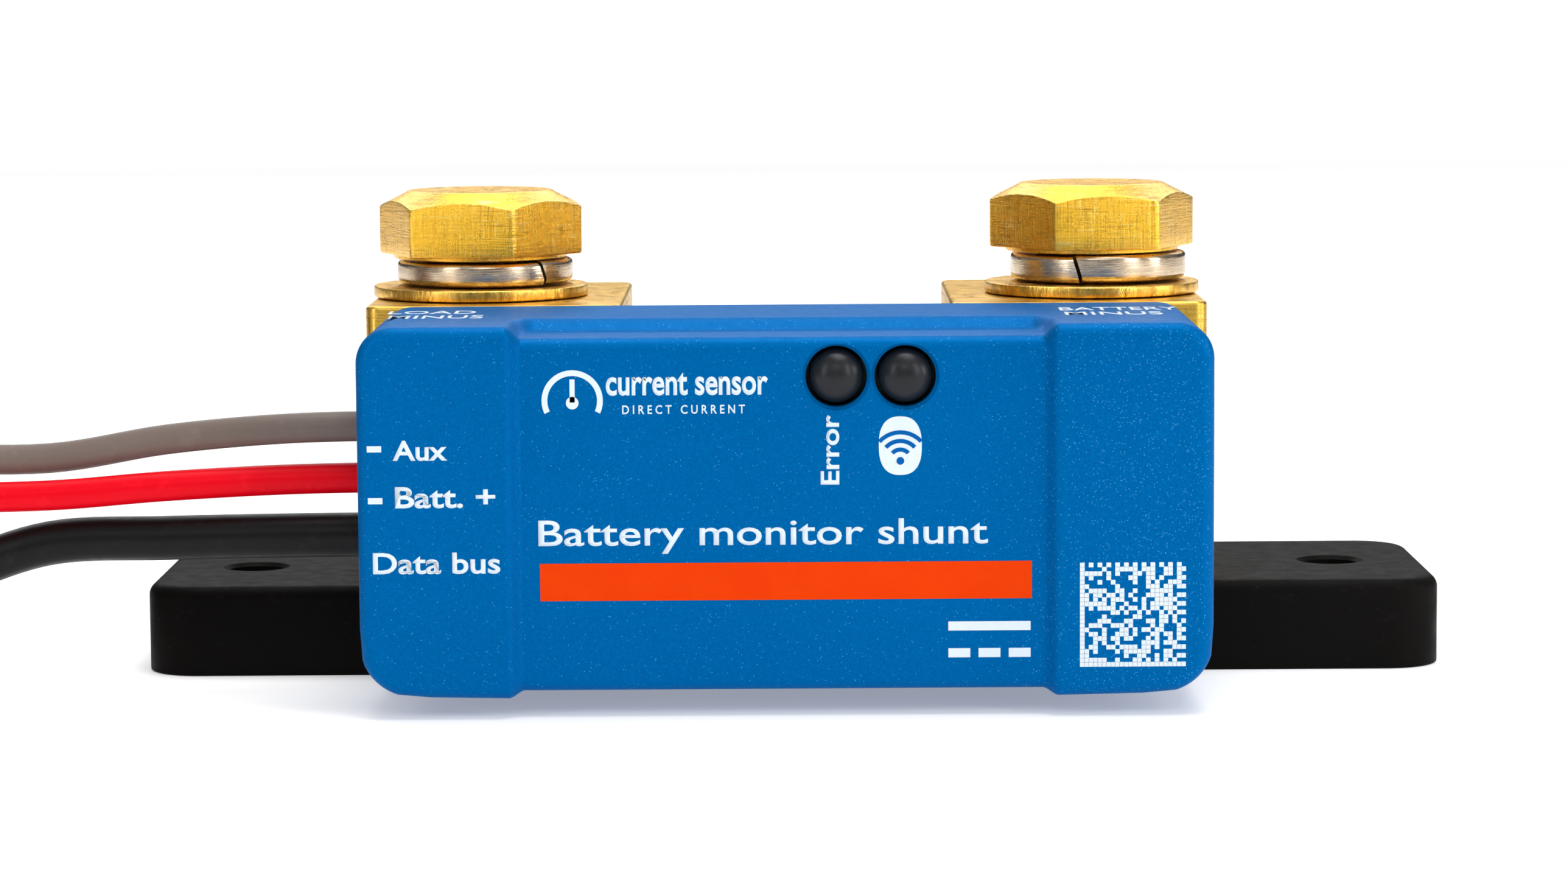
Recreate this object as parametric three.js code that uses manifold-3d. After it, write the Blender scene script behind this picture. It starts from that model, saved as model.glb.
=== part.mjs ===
// Battery monitor shunt: two brass terminal blocks joined by manganin strips on a moulded base,
// with an electronics housing along the front and three plugged leads leaving the left end.
// Millimetres. Origin: bottom centre of the shunt's own bounding box (leads not counted).
// +X towards the battery-minus terminal, -Y towards the printed front, +Z up.
import * as THREE from "three";
import { mergeVertices } from "three/addons/utils/BufferGeometryUtils.js";
import Module from "manifold-3d";

const wasm = await Module();
wasm.setup();

// ---------------------------------------------------------------- driving dimensions
const BASE_LENGTH = 120;
const BASE_FRONT = -2, BASE_BACK = 27;
const BASE_HEIGHT = 8.3;
const BASE_CORNER = 5;
const BASE_TOP_ROUND = 1.2;
const BASE_HOLE_R = 2.75;
const BASE_HOLE_X = 51.1, BASE_HOLE_Y = 12.1;

const SHIFT = -0.45; // the terminal and housing centreline, measured from the base's centre

const BLOCK_INNER = 15.1, BLOCK_OUTER = 38.5;
const BLOCK_FRONT = -2.9, BLOCK_BACK = 26.9;
const BLOCK_BOTTOM = 8.4, BLOCK_TOP = 34.2;
const STUD_X = 28.7, STUD_Y = 9.6; // M10 bolt axis
const STUD_HOLE_R = 5.35, STUD_HOLE_BOTTOM = 13;

const BOLT_R = 5, BOLT_LENGTH = 22;
const HEX_FLATS = 17, HEAD_HEIGHT = 6.3, HEAD_FLAT_R = 6.75, WASHER_FACE_R = 8.1, WASHER_FACE = 0.35;
const PLAIN_R = 10, PLAIN_BORE_R = 5.4, PLAIN_THICK = 1.05;
const SPRING_R = 8.25, SPRING_BORE_R = 5.3;
const SEAT_GAP = 0.1;
const LOAD = { sign: -1, spring: 2.35, hex: -7.9, split: -45.3 };
const BATTERY = { sign: 1, spring: 2.7, hex: 6.1, split: -107.1 };

const COVER_HALF = 37.25;
const COVER_FRONT = -27, COVER_BACK = -3.2;
const COVER_BOTTOM = 1.45, COVER_TOP = 34.2;
const COVER_CORNER = 3.2, COVER_ROUND = 1.2, COVER_WALL = 1.8;
const RECESS = 1.1;
const RECESS_LEFT = [-23.9, -22.75], RECESS_RIGHT = [23.2, 22.1]; // lip and floor edges of the middle panel
const RECESS_BACK = -18;
const LED_R = 2.35, LED_HOLE_R = 2.65, LED_Z = 29.65;
const LED_X = [4.3, 10.26];

const PORT_X = SHIFT - COVER_HALF; // housing's left end face
const PORT_Y = -15;
// z and diameter at the port, and the y that the lead settles at on its way to its coil
const AUX = { z: 24.5, d: 2.7, far: -13.9 };
const SENSE = { z: 19.9, d: 2.7, far: -16.1 };
const DATA = { z: 14.8, d: 3.95 };

// coils of the stored lead lengths, piled beside the object
const PILE_X = -107.5;
const THIN_TURNS = [9.4, 12.2, 15.0, 17.8], THIN_STEP = 2.72;
const DATA_TURNS = [17.9, 21.95, 26.0], DATA_STEP = 4.05;
const DATA_COIL_Z = 0.5, SENSE_COIL_Z = 9.55, AUX_COIL_Z = 21.4;

// ---------------------------------------------------------------- helpers
function solid(geometry) {
  const g = geometry.clone();
  g.deleteAttribute("normal");
  g.deleteAttribute("uv");
  const m = mergeVertices(g, 1e-4);
  return new wasm.Manifold(
    new wasm.Mesh({
      numProp: 3,
      vertProperties: m.attributes.position.array,
      triVerts: new Uint32Array(m.index.array),
    }),
  );
}

function geometry(manifold) {
  const m = manifold.getMesh();
  const v = new Float32Array(m.numVert * 3);
  for (let i = 0; i < m.numVert; i++)
    v.set(m.vertProperties.subarray(i * m.numProp, i * m.numProp + 3), i * 3);
  const g = new THREE.BufferGeometry()
    .setAttribute("position", new THREE.BufferAttribute(v, 3))
    .setIndex(new THREE.BufferAttribute(new Uint32Array(m.triVerts), 1));
  g.computeVertexNormals();
  return g;
}

const join = (...parts) => parts.reduce((a, b) => a.add(b));
const cut = (a, ...tools) => tools.reduce((s, t) => s.subtract(t), a);

function box(x0, x1, y0, y1, z0, z1) {
  const g = new THREE.BoxGeometry(x1 - x0, y1 - y0, z1 - z0);
  g.translate((x0 + x1) / 2, (y0 + y1) / 2, (z0 + z1) / 2);
  return solid(g);
}

// cylinders along each axis, from a to b
function cylZ(x, y, r, z0, z1, n = 32) {
  const g = new THREE.CylinderGeometry(r, r, z1 - z0, n);
  g.rotateX(Math.PI / 2);
  g.translate(x, y, (z0 + z1) / 2);
  return solid(g);
}
function cylY(x, z, r, y0, y1, n = 24) {
  const g = new THREE.CylinderGeometry(r, r, y1 - y0, n);
  g.translate(x, (y0 + y1) / 2, z);
  return solid(g);
}
function cylX(y, z, r, x0, x1, n = 24) {
  const g = new THREE.CylinderGeometry(r, r, x1 - x0, n);
  g.rotateZ(Math.PI / 2);
  g.translate((x0 + x1) / 2, y, z);
  return solid(g);
}

// body of revolution about +Z from [radius, z] points that run up the outside
function turned(points, n = 40) {
  const g = new THREE.LatheGeometry(points.map(([r, z]) => new THREE.Vector2(r, z)), n);
  g.rotateX(Math.PI / 2);
  return solid(g);
}

function roundedRect(x0, x1, y0, y1, r) {
  const s = new THREE.Shape();
  s.moveTo(x0 + r, y0);
  s.lineTo(x1 - r, y0);
  s.absarc(x1 - r, y0 + r, r, -Math.PI / 2, 0, false);
  s.lineTo(x1, y1 - r);
  s.absarc(x1 - r, y1 - r, r, 0, Math.PI / 2, false);
  s.lineTo(x0 + r, y1);
  s.absarc(x0 + r, y1 - r, r, Math.PI / 2, Math.PI, false);
  s.lineTo(x0, y0 + r);
  s.absarc(x0 + r, y0 + r, r, Math.PI, 1.5 * Math.PI, false);
  return s;
}

// outline in XY pushed up Z
function extrudeZ(shape, z0, z1, curveSegments = 6) {
  const g = new THREE.ExtrudeGeometry(shape, { depth: z1 - z0, bevelEnabled: false, curveSegments });
  g.translate(0, 0, z0);
  return solid(g);
}

// outline in XZ pushed along Y
function extrudeY(shape, y0, y1, curveSegments = 6) {
  const g = new THREE.ExtrudeGeometry(shape, { depth: y1 - y0, bevelEnabled: false, curveSegments });
  g.rotateX(Math.PI / 2);
  g.translate(0, y1, 0);
  return solid(g);
}

function polygon(points) {
  const s = new THREE.Shape();
  s.moveTo(...points[0]);
  for (const p of points.slice(1)) s.lineTo(...p);
  return s;
}

// round cord along a smooth route
function cord(points, diameter, sides, steps) {
  const curve = new THREE.CatmullRomCurve3(points.map((p) => new THREE.Vector3(...p)), false, "centripetal");
  const s = new THREE.Shape();
  for (let i = 0; i <= sides; i++) {
    const a = (2 * Math.PI * i) / sides;
    const x = (Math.cos(a) * diameter) / 2, y = (Math.sin(a) * diameter) / 2;
    if (i === 0) s.moveTo(x, y);
    else if (i < sides) s.lineTo(x, y);
  }
  return solid(new THREE.ExtrudeGeometry(s, { steps, extrudePath: curve, bevelEnabled: false }));
}

const group = new THREE.Group();
group.name = "battery_monitor_shunt";

function add(name, shape, color, roughness, metalness, parent = group) {
  const mesh = new THREE.Mesh(
    geometry(shape),
    new THREE.MeshStandardMaterial({ color, roughness, metalness }),
  );
  mesh.name = name;
  parent.add(mesh);
  return mesh;
}

const BLUE = 0x0a5fae, BLACK = 0x151413, BRASS = 0xc99a3a, BRONZE = 0xb3a58c, STEEL = 0x9a9a9c;
const MANGANIN = 0xa3825f, GREEN = 0x1f5c38, TIN = 0xb9bcc0;

// ---------------------------------------------------------------- base
{
  // stacked outlines give the rounded top edge
  const half = BASE_LENGTH / 2;
  const plain = extrudeZ(
    roundedRect(-half, half, BASE_FRONT, BASE_BACK, BASE_CORNER), 0, BASE_HEIGHT - BASE_TOP_ROUND, 8);
  const crown = new THREE.ExtrudeGeometry(
    roundedRect(-half, half, BASE_FRONT, BASE_BACK, BASE_CORNER),
    { depth: BASE_HEIGHT - 2 * BASE_TOP_ROUND, bevelEnabled: true, bevelThickness: BASE_TOP_ROUND,
      bevelSize: BASE_TOP_ROUND, bevelOffset: -BASE_TOP_ROUND, bevelSegments: 3, curveSegments: 8 });
  crown.translate(0, 0, BASE_TOP_ROUND);
  let base = join(plain, solid(crown));
  for (const s of [-1, 1]) {
    base = cut(
      base,
      cylZ(s * BASE_HOLE_X, BASE_HOLE_Y, BASE_HOLE_R, -1, BASE_HEIGHT + 1),
      cylZ(SHIFT + s * 22, 20.5, 3.3, -1, BASE_HEIGHT + 1, 24),
      cylZ(SHIFT + s * 22, 20.5, 5.5, -1, 5, 24),
    );
  }
  add("base", base, BLACK, 0.55, 0);
}

// ---------------------------------------------------------------- terminal blocks, strips and their screws
const STRIP_Y = [1.2, 8.2, 15.2, 22.2], STRIP_THICK = 1.6;
for (const [name, s] of [["load_block", -1], ["battery_block", 1]]) {
  const x0 = SHIFT + (s < 0 ? -BLOCK_OUTER : BLOCK_INNER), x1 = SHIFT + (s < 0 ? -BLOCK_INNER : BLOCK_OUTER);
  const c = 0.35; // broken edges
  let block = box(x0, x1, BLOCK_FRONT, BLOCK_BACK, BLOCK_BOTTOM, BLOCK_TOP);
  const bevel = new THREE.ExtrudeGeometry(
    roundedRect(x0, x1, BLOCK_FRONT, BLOCK_BACK, 1.2),
    { depth: BLOCK_TOP - BLOCK_BOTTOM - 2 * c, bevelEnabled: true, bevelThickness: c, bevelSize: c,
      bevelOffset: -c, bevelSegments: 1, curveSegments: 3 });
  bevel.translate(0, 0, BLOCK_BOTTOM + c);
  block = block.intersect(solid(bevel));
  const inner = SHIFT + s * BLOCK_INNER;
  for (const y of STRIP_Y)
    block = cut(block, box(Math.min(inner - 1 * s, inner + 3.3 * s), Math.max(inner - 1 * s, inner + 3.3 * s),
      y - STRIP_THICK / 2 - 0.2, y + STRIP_THICK / 2 + 0.2, 10.6, 31.8));
  block = cut(
    block,
    cylZ(SHIFT + s * STUD_X, STUD_Y, STUD_HOLE_R, STUD_HOLE_BOTTOM, BLOCK_TOP + 1, 36),
    cylZ(SHIFT + s * 22, 20.5, 2.95, BLOCK_BOTTOM - 1, 19.3, 20),
    cylY(SHIFT + s * 21.6, 14, 2.0, BLOCK_FRONT - 1, 0.1, 16),
  );
  add(name, block, BRASS, 0.42, 1);
  // machine screw from beneath the base
  add(
    s < 0 ? "load_block_screw" : "battery_block_screw",
    cut(
      join(
        cylZ(SHIFT + s * 22, 20.5, 5.0, 0.9, 4.7, 24),
        cylZ(SHIFT + s * 22, 20.5, 2.6, 4.6, 19, 20),
      ),
      solid((() => {
        const g = new THREE.CylinderGeometry(2.9, 2.9, 3.2, 6);
        g.rotateX(Math.PI / 2);
        g.translate(SHIFT + s * 22, 20.5, 1.4);
        return g;
      })()),
    ),
    STEEL, 0.35, 1,
  );
}
STRIP_Y.forEach((y, i) =>
  add(
    "manganin_strip_" + (i + 1),
    box(SHIFT - BLOCK_INNER - 3, SHIFT + BLOCK_INNER + 3, y - STRIP_THICK / 2, y + STRIP_THICK / 2, 10.9, 31.5),
    MANGANIN, 0.5, 1,
  ),
);

// ---------------------------------------------------------------- terminal bolts and washers
for (const [name, t] of [["load", LOAD], ["battery", BATTERY]]) {
  const spot = new THREE.Group();
  spot.position.set(SHIFT + t.sign * STUD_X, STUD_Y, BLOCK_TOP + SEAT_GAP);
  group.add(spot);
  const e = 0.25;
  add(name + "_plain_washer",
    turned([[PLAIN_BORE_R, 0], [PLAIN_R - e, 0], [PLAIN_R, e], [PLAIN_R, PLAIN_THICK - e],
      [PLAIN_R - e, PLAIN_THICK], [PLAIN_BORE_R, PLAIN_THICK], [PLAIN_BORE_R, 0]], 44),
    BRASS, 0.4, 1, spot);

  const s0 = PLAIN_THICK + SEAT_GAP, s1 = s0 + t.spring, r = 0.5;
  const ring = turned([[SPRING_BORE_R, s0], [SPRING_R - r, s0], [SPRING_R - 0.15, s0 + 0.15], [SPRING_R, s0 + r],
    [SPRING_R, s1 - r], [SPRING_R - 0.15, s1 - 0.15], [SPRING_R - r, s1], [SPRING_BORE_R, s1], [SPRING_BORE_R, s0]], 40);
  const slit = new THREE.BoxGeometry(6, 0.6, 9);
  slit.rotateX(-0.2);
  slit.translate(7.5, 0, (s0 + s1) / 2);
  slit.rotateZ((t.split * Math.PI) / 180);
  add(name + "_spring_washer", cut(ring, solid(slit)), BRONZE, 0.35, 1, spot);

  const h0 = s1 + SEAT_GAP, h1 = h0 + HEAD_HEIGHT;
  const hex = new THREE.CylinderGeometry(HEX_FLATS / Math.sqrt(3), HEX_FLATS / Math.sqrt(3), HEAD_HEIGHT - WASHER_FACE, 6);
  hex.rotateX(Math.PI / 2);
  hex.rotateZ(Math.PI / 2 + (t.hex * Math.PI) / 180);
  hex.translate(0, 0, (h0 + WASHER_FACE + h1) / 2);
  const corner = HEX_FLATS / Math.sqrt(3) + 0.2;
  const dome = turned([[0, h0 + 0.1], [corner, h0 + 0.1], [corner, h1 - (corner - HEAD_FLAT_R) * 0.5],
    [HEAD_FLAT_R, h1], [0, h1]], 40);
  const shank = turned([[0, h0 - BOLT_LENGTH], [BOLT_R - 1, h0 - BOLT_LENGTH], [BOLT_R, h0 - BOLT_LENGTH + 1],
    [BOLT_R, h0 + 0.2], [WASHER_FACE_R, h0 + 0.001], [WASHER_FACE_R, h0 + WASHER_FACE + 0.2], [0, h0 + WASHER_FACE + 0.2]], 40);
  add(name + "_bolt", join(solid(hex).intersect(dome), shank), BRASS, 0.38, 1, spot);
}

// ---------------------------------------------------------------- electronics housing
{
  const b = COVER_ROUND;
  const g = new THREE.ExtrudeGeometry(
    roundedRect(SHIFT - COVER_HALF, SHIFT + COVER_HALF, COVER_BOTTOM, COVER_TOP, COVER_CORNER),
    { depth: COVER_BACK - COVER_FRONT, bevelEnabled: true, bevelThickness: b, bevelSize: b,
      bevelOffset: -b, bevelSegments: 4, curveSegments: 8 });
  g.rotateX(Math.PI / 2);
  g.translate(0, COVER_BACK + b, 0);
  // the front bevel ends at COVER_FRONT, and the rear one is cut away
  let cover = cut(solid(g), box(-60, 60, COVER_BACK, COVER_BACK + 20, -10, 50));

  const L0 = SHIFT + RECESS_LEFT[0], L1 = SHIFT + RECESS_LEFT[1], R0 = SHIFT + RECESS_RIGHT[0], R1 = SHIFT + RECESS_RIGHT[1];
  const f = COVER_FRONT, d = RECESS;
  cover = cut(
    cover,
    // front, top and underside of the shallow middle panel, with sloping ends
    extrudeZ(polygon([[L0 - 1, f - 1], [R0 + 1, f - 1], [R0, f], [R1, f + d], [L1, f + d], [L0, f]]), -5, 45),
    extrudeY(polygon([[L0 - 1, COVER_TOP + 1], [L0, COVER_TOP], [L1, COVER_TOP - d], [R1, COVER_TOP - d], [R0, COVER_TOP], [R0 + 1, COVER_TOP + 1]]), f - 2, RECESS_BACK),
    extrudeY(polygon([[L0 - 1, COVER_BOTTOM - 1], [R0 + 1, COVER_BOTTOM - 1], [R0, COVER_BOTTOM], [R1, COVER_BOTTOM + d], [L1, COVER_BOTTOM + d], [L0, COVER_BOTTOM]]), f - 2, RECESS_BACK),
    // inside
    extrudeY(roundedRect(SHIFT - COVER_HALF + COVER_WALL, SHIFT + COVER_HALF - COVER_WALL, COVER_BOTTOM + 2.9, COVER_TOP - 2.9, 1.5),
      COVER_FRONT + RECESS + COVER_WALL, COVER_BACK + 5, 3),
    // light openings
    cylY(SHIFT + LED_X[0], LED_Z, LED_HOLE_R, COVER_FRONT - 1, -20, 24),
    cylY(SHIFT + LED_X[1], LED_Z, LED_HOLE_R, COVER_FRONT - 1, -20, 24),
    // lead openings in the left end
    cylX(PORT_Y, AUX.z, 1.7, PORT_X - 1, PORT_X + 4, 20),
    cylX(PORT_Y, SENSE.z, 1.7, PORT_X - 1, PORT_X + 4, 20),
    box(PORT_X - 1, PORT_X + 4, PORT_Y - 4.4, PORT_Y + 4.4, DATA.z - 3.1, DATA.z + 3.1),
  );
  add("front_cover", cover, BLUE, 0.45, 0);

  add("back_plate",
    cut(
      extrudeY(roundedRect(SHIFT - 35.15, SHIFT + 35.15, COVER_BOTTOM + 3.2, COVER_TOP - 3.2, 1.3), -5.1, -3.5, 3),
      cylY(SHIFT - 21.6, 14, 1.9, -6, -2, 16),
      cylY(SHIFT + 21.6, 14, 1.9, -6, -2, 16),
    ),
    BLACK, 0.6, 0);

  add("circuit_board",
    cut(
      box(SHIFT - 34.4, SHIFT + 34.4, -19.6, -18, 5.2, 30.5),
      cylY(SHIFT - 21.6, 14, 1.9, -20, -17, 16),
      cylY(SHIFT + 21.6, 14, 1.9, -20, -17, 16),
    ),
    GREEN, 0.5, 0);

  ["error_led", "wireless_led"].forEach((n, i) => {
    const x = SHIFT + LED_X[i];
    const dome = new THREE.LatheGeometry(
      [[0, 0], [LED_R, 0], [LED_R, 4.1], [LED_R * 0.92, 4.75], [LED_R * 0.7, 5.3], [LED_R * 0.38, 5.68], [0, 5.8]]
        .map(([r, z]) => new THREE.Vector2(r, z)), 24);
    dome.rotateX(Math.PI);
    // the lathe's axis is Y after construction, so the dome already points to -Y
    dome.translate(x, -20.9, LED_Z);
    add(n + "_lens", solid(dome), 0x101010, 0.12, 0);
    add(n + "_chip", box(x - 0.8, x + 0.8, -20.7, -19.7, LED_Z - 1.9, LED_Z - 0.6), 0xe8e4d0, 0.4, 0);
  });

  for (const [n, s] of [["left", -1], ["right", 1]]) {
    const x = SHIFT + s * 21.6;
    add("sense_screw_" + n,
      join(cylY(x, 14, 2.9, -22.1, -19.9, 20), cylY(x, 14, 1.5, -20.1, -0.4, 16)), BRASS, 0.35, 1);
    add("sense_spacer_" + n,
      cut(cylY(x, 14, 2.8, -17.7, -5.4, 20), cylY(x, 14, 1.85, -18.7, -4.4, 16)), BRASS, 0.4, 1);
  }

  add("microcontroller", box(SHIFT - 8, SHIFT + 2, -21.2, -19.9, 12, 22), 0x18181a, 0.5, 0);
  add("radio_module", box(SHIFT + 4.5, SHIFT + 17.5, -22.2, -19.9, 8, 24), TIN, 0.3, 1);
  add("power_inductor", box(SHIFT + 24, SHIFT + 31, -17.7, -13.2, 18, 25), 0x3a3a3c, 0.6, 0);
  add("smoothing_capacitor", cylY(SHIFT + 10, 12.5, 4, -17.7, -7.7, 24), 0x20242c, 0.4, 0);

  // sockets on the back of the board
  for (const [n, p] of [["aux_socket", AUX], ["battery_sense_socket", SENSE]])
    add(n,
      cut(
        box(PORT_X + 2.15, PORT_X + 14.6, PORT_Y - 2.6, PORT_Y + 2.6, p.z - 2.15, p.z + 2.1),
        cylX(PORT_Y, p.z, 1.65, PORT_X, PORT_X + 6.6, 16),
        cylX(PORT_Y, p.z, 1.05, PORT_X, PORT_X + 13.6, 12),
      ),
      0x2a2c2e, 0.5, 0);
  add("data_socket",
    cut(
      box(PORT_X + 2.15, PORT_X + 12.6, PORT_Y - 2.65, PORT_Y + 5.6, DATA.z - 4.0, DATA.z + 2.65),
      box(PORT_X, PORT_X + 9.4, PORT_Y - 1.75, PORT_Y + 4.7, DATA.z - 2.85, DATA.z + 2.05),
    ),
    0xd8d2c0, 0.5, 0);
}

// ---------------------------------------------------------------- leads
function coil(turns, d, x, y, z, layers, step) {
  const inner = turns[0] - d / 2, outer = turns.at(-1) + d / 2, h = (layers - 1) * step + d, c = d * 0.3;
  const g = new THREE.LatheGeometry(
    [[inner, c], [inner + c, 0], [outer - c, 0], [outer, c], [outer, h - c], [outer - c, h], [inner + c, h], [inner, h - c], [inner, c]]
      .map(([r, k]) => new THREE.Vector2(r, k)), 40);
  g.rotateX(Math.PI / 2);
  g.translate(x, y, z);
  return solid(g);
}

// a tinned ring terminal for an M10 stud: crimp barrel at [x, y], tongue and eye towards +X, its underside at z
const EYE_OFFSET = 18.2, EYE_R = 8.4, EYE_HOLE_R = 5.25, TONGUE = 0.9;
function ringTerminal(x, y, z) {
  const s = new THREE.Shape();
  const n = 40, a0 = Math.asin(2.6 / EYE_R);
  s.moveTo(6.4, -2.2);
  for (let i = 0; i <= n; i++) {
    const a = -Math.PI + a0 + ((2 * Math.PI - 2 * a0) * i) / n;
    s.lineTo(EYE_OFFSET + EYE_R * Math.cos(a), EYE_R * Math.sin(a));
  }
  s.lineTo(6.4, 2.2);
  const hole = new THREE.Path();
  hole.absarc(EYE_OFFSET, 0, EYE_HOLE_R, 0, 2 * Math.PI, true);
  s.holes.push(hole);
  const g = new THREE.ExtrudeGeometry(s, { depth: TONGUE, bevelEnabled: false, curveSegments: 24 });
  g.translate(x, y, z);
  return join(solid(g), cylX(y, z + 2.1, 2.1, x, x + 8, 20));
}

// auxiliary (grey) and battery sense (red) wires: ferrule, wire, coil, end of the wire and ring terminal
const exitX = PORT_X;
for (const [name, p, color, sag, coilZ, enter] of [
  ["aux", AUX, 0x8c827d, 2.8, AUX_COIL_Z, AUX_COIL_Z + 1.35],
  ["battery_sense", SENSE, 0xe8052a, 1.3, SENSE_COIL_Z, SENSE_COIL_Z + 1.35 + 3 * THIN_STEP],
]) {
  add(name + "_ferrule",
    join(cylX(PORT_Y, p.z, 1.3, exitX + 4.5, exitX + 6.3, 16), cylX(PORT_Y, p.z, 0.8, exitX + 6.2, exitX + 13, 12)),
    TIN, 0.3, 1);
  add(name + "_wire",
    cord([
      [exitX + 4.2, PORT_Y, p.z], [exitX, PORT_Y, p.z], [exitX - 8, PORT_Y + 0.3 * (p.far - PORT_Y), p.z - sag * 0.09],
      [exitX - 18, PORT_Y + 0.9 * (p.far - PORT_Y), p.z - sag * 0.42], [exitX - 28.5, p.far, p.z - sag],
      [exitX - 42, p.far, (p.z - sag) * 0.45 + enter * 0.55 - 0.35], [exitX - 53, p.far, enter - 0.06], [-97.1, p.far, enter],
    ], p.d, 8, 12),
    color, 0.45, 0);
  add(name + "_coil", coil(THIN_TURNS, p.d, PILE_X, p.far + THIN_TURNS.at(-1), coilZ, 4, THIN_STEP), color, 0.45, 0);
}
add("battery_sense_wire_end",
  cord([[-127.55, 8.8, 10.9], [-127.9, 14.6, 10.9], [-126.6, 21.2, 10.95], [-123.4, 26.2, 11.1], [-118.6, 29.2, 11.4], [-115.4, 29.8, 11.6]], SENSE.d, 8, 6),
  0xe8052a, 0.45, 0);
add("battery_sense_ring_terminal", ringTerminal(-115.1, 29.8, 9.5), TIN, 0.3, 1);
add("aux_wire_end",
  cord([[-123.3, 4.3, 34.0], [-122.4, 8.3, 34.35], [-119.8, 11.6, 34.9], [-116.1, 12.5, 35.3], [-114.9, 12.5, 35.4]], AUX.d, 8, 4),
  0x8c827d, 0.45, 0);
add("aux_ring_terminal", ringTerminal(-114.6, 12.5, 33.3), TIN, 0.3, 1);

// data cable (black): plug, cable, coil, end of the cable and small connector
const dataCoilY = PORT_Y + DATA_TURNS.at(-1); // the outer turn runs on from the cable
add("data_plug",
  join(
    box(exitX + 1.2, exitX + 9.1, PORT_Y - 1.45, PORT_Y + 4.4, DATA.z - 2.55, DATA.z + 1.75),
    box(exitX - 0.2, exitX + 2, PORT_Y - 3.9, PORT_Y + 4.1, DATA.z - 2.8, DATA.z + 2.75),
  ),
  0x1b1b1c, 0.5, 0);
const dataTop = DATA_COIL_Z + DATA.d / 2 + DATA_STEP, dataLow = DATA_COIL_Z + DATA.d / 2;
add("data_cable",
  cord([
    [exitX - 0.5, PORT_Y, DATA.z], [exitX - 8, PORT_Y, DATA.z - 0.05], [exitX - 18, PORT_Y, DATA.z - 0.2],
    [exitX - 28.5, PORT_Y, DATA.z - 0.6], [exitX - 36.5, PORT_Y, DATA.z - 3.2], [exitX - 44, PORT_Y, DATA.z - 6.6],
    [exitX - 50, PORT_Y, dataTop + 0.3], [-92.4, PORT_Y, dataTop],
  ], DATA.d, 8, 10),
  0x131313, 0.5, 0);
add("data_coil", coil(DATA_TURNS, DATA.d, PILE_X, dataCoilY, DATA_COIL_Z, 2, DATA_STEP), 0x131313, 0.5, 0);
add("data_cable_end",
  cord([[-122.6, PORT_Y, dataLow], [-126, PORT_Y, dataLow + 0.1], [-130.2, PORT_Y, dataLow + 0.4]], DATA.d, 8, 3),
  0x131313, 0.5, 0);
add("data_far_connector",
  join(
    box(-140.6, -132.4, PORT_Y - 4.0, PORT_Y + 4.0, 0.15, 5.2),
    box(-132.5, -130.5, PORT_Y - 3.1, PORT_Y + 3.1, 0.5, 4.9),
    box(-139.4, -133.6, PORT_Y - 1.6, PORT_Y + 1.6, 5.1, 5.9),
  ),
  0x1b1b1c, 0.5, 0);

export default group;
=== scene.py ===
# Battery monitor shunt: the looks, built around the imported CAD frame. Lengths in the helpers are millimetres.
import bpy, bmesh, math, random
from mathutils import Vector, Matrix


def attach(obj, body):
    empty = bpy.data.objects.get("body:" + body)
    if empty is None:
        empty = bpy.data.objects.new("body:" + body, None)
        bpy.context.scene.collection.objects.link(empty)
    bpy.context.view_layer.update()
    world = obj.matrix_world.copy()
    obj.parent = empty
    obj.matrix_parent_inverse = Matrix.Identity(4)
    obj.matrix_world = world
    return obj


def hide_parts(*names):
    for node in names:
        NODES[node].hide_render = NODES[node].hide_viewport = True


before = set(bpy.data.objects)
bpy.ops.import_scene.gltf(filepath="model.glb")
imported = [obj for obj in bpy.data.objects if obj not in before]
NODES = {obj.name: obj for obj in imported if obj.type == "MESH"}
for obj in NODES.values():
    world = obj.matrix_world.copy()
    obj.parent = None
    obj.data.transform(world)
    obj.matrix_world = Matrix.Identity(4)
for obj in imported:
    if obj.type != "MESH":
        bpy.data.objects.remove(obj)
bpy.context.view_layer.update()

scene = bpy.context.scene
MM = 0.001
SHIFT = -0.45


# =====================================================================================================
# camera
# =====================================================================================================
def make_camera():
    cam = bpy.data.cameras.new("camera")
    obj = bpy.data.objects.new("camera", cam)
    scene.collection.objects.link(obj)
    cam.sensor_width = 36.0
    cam.sensor_fit = "HORIZONTAL"
    cam.lens = 7283.2 / 2576 * 36.0
    yaw, pitch, roll = math.radians(-0.123), math.radians(6.147), math.radians(-0.395)
    ahead = Vector((math.sin(yaw) * math.cos(pitch), math.cos(yaw) * math.cos(pitch), -math.sin(pitch)))
    right = Vector((math.cos(yaw), -math.sin(yaw), 0))
    up = right.cross(ahead)
    r2 = right * math.cos(roll) + up * math.sin(roll)
    u2 = -right * math.sin(roll) + up * math.cos(roll)
    m = Matrix((r2, u2, -ahead)).transposed().to_4x4()
    m.translation = Vector((0.5811 - 0.4576, -404.638 - 2.0, 65.094)) * MM
    obj.matrix_world = m
    cam.clip_start, cam.clip_end = 0.02, 20.0
    scene.camera = obj


make_camera()


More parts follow.
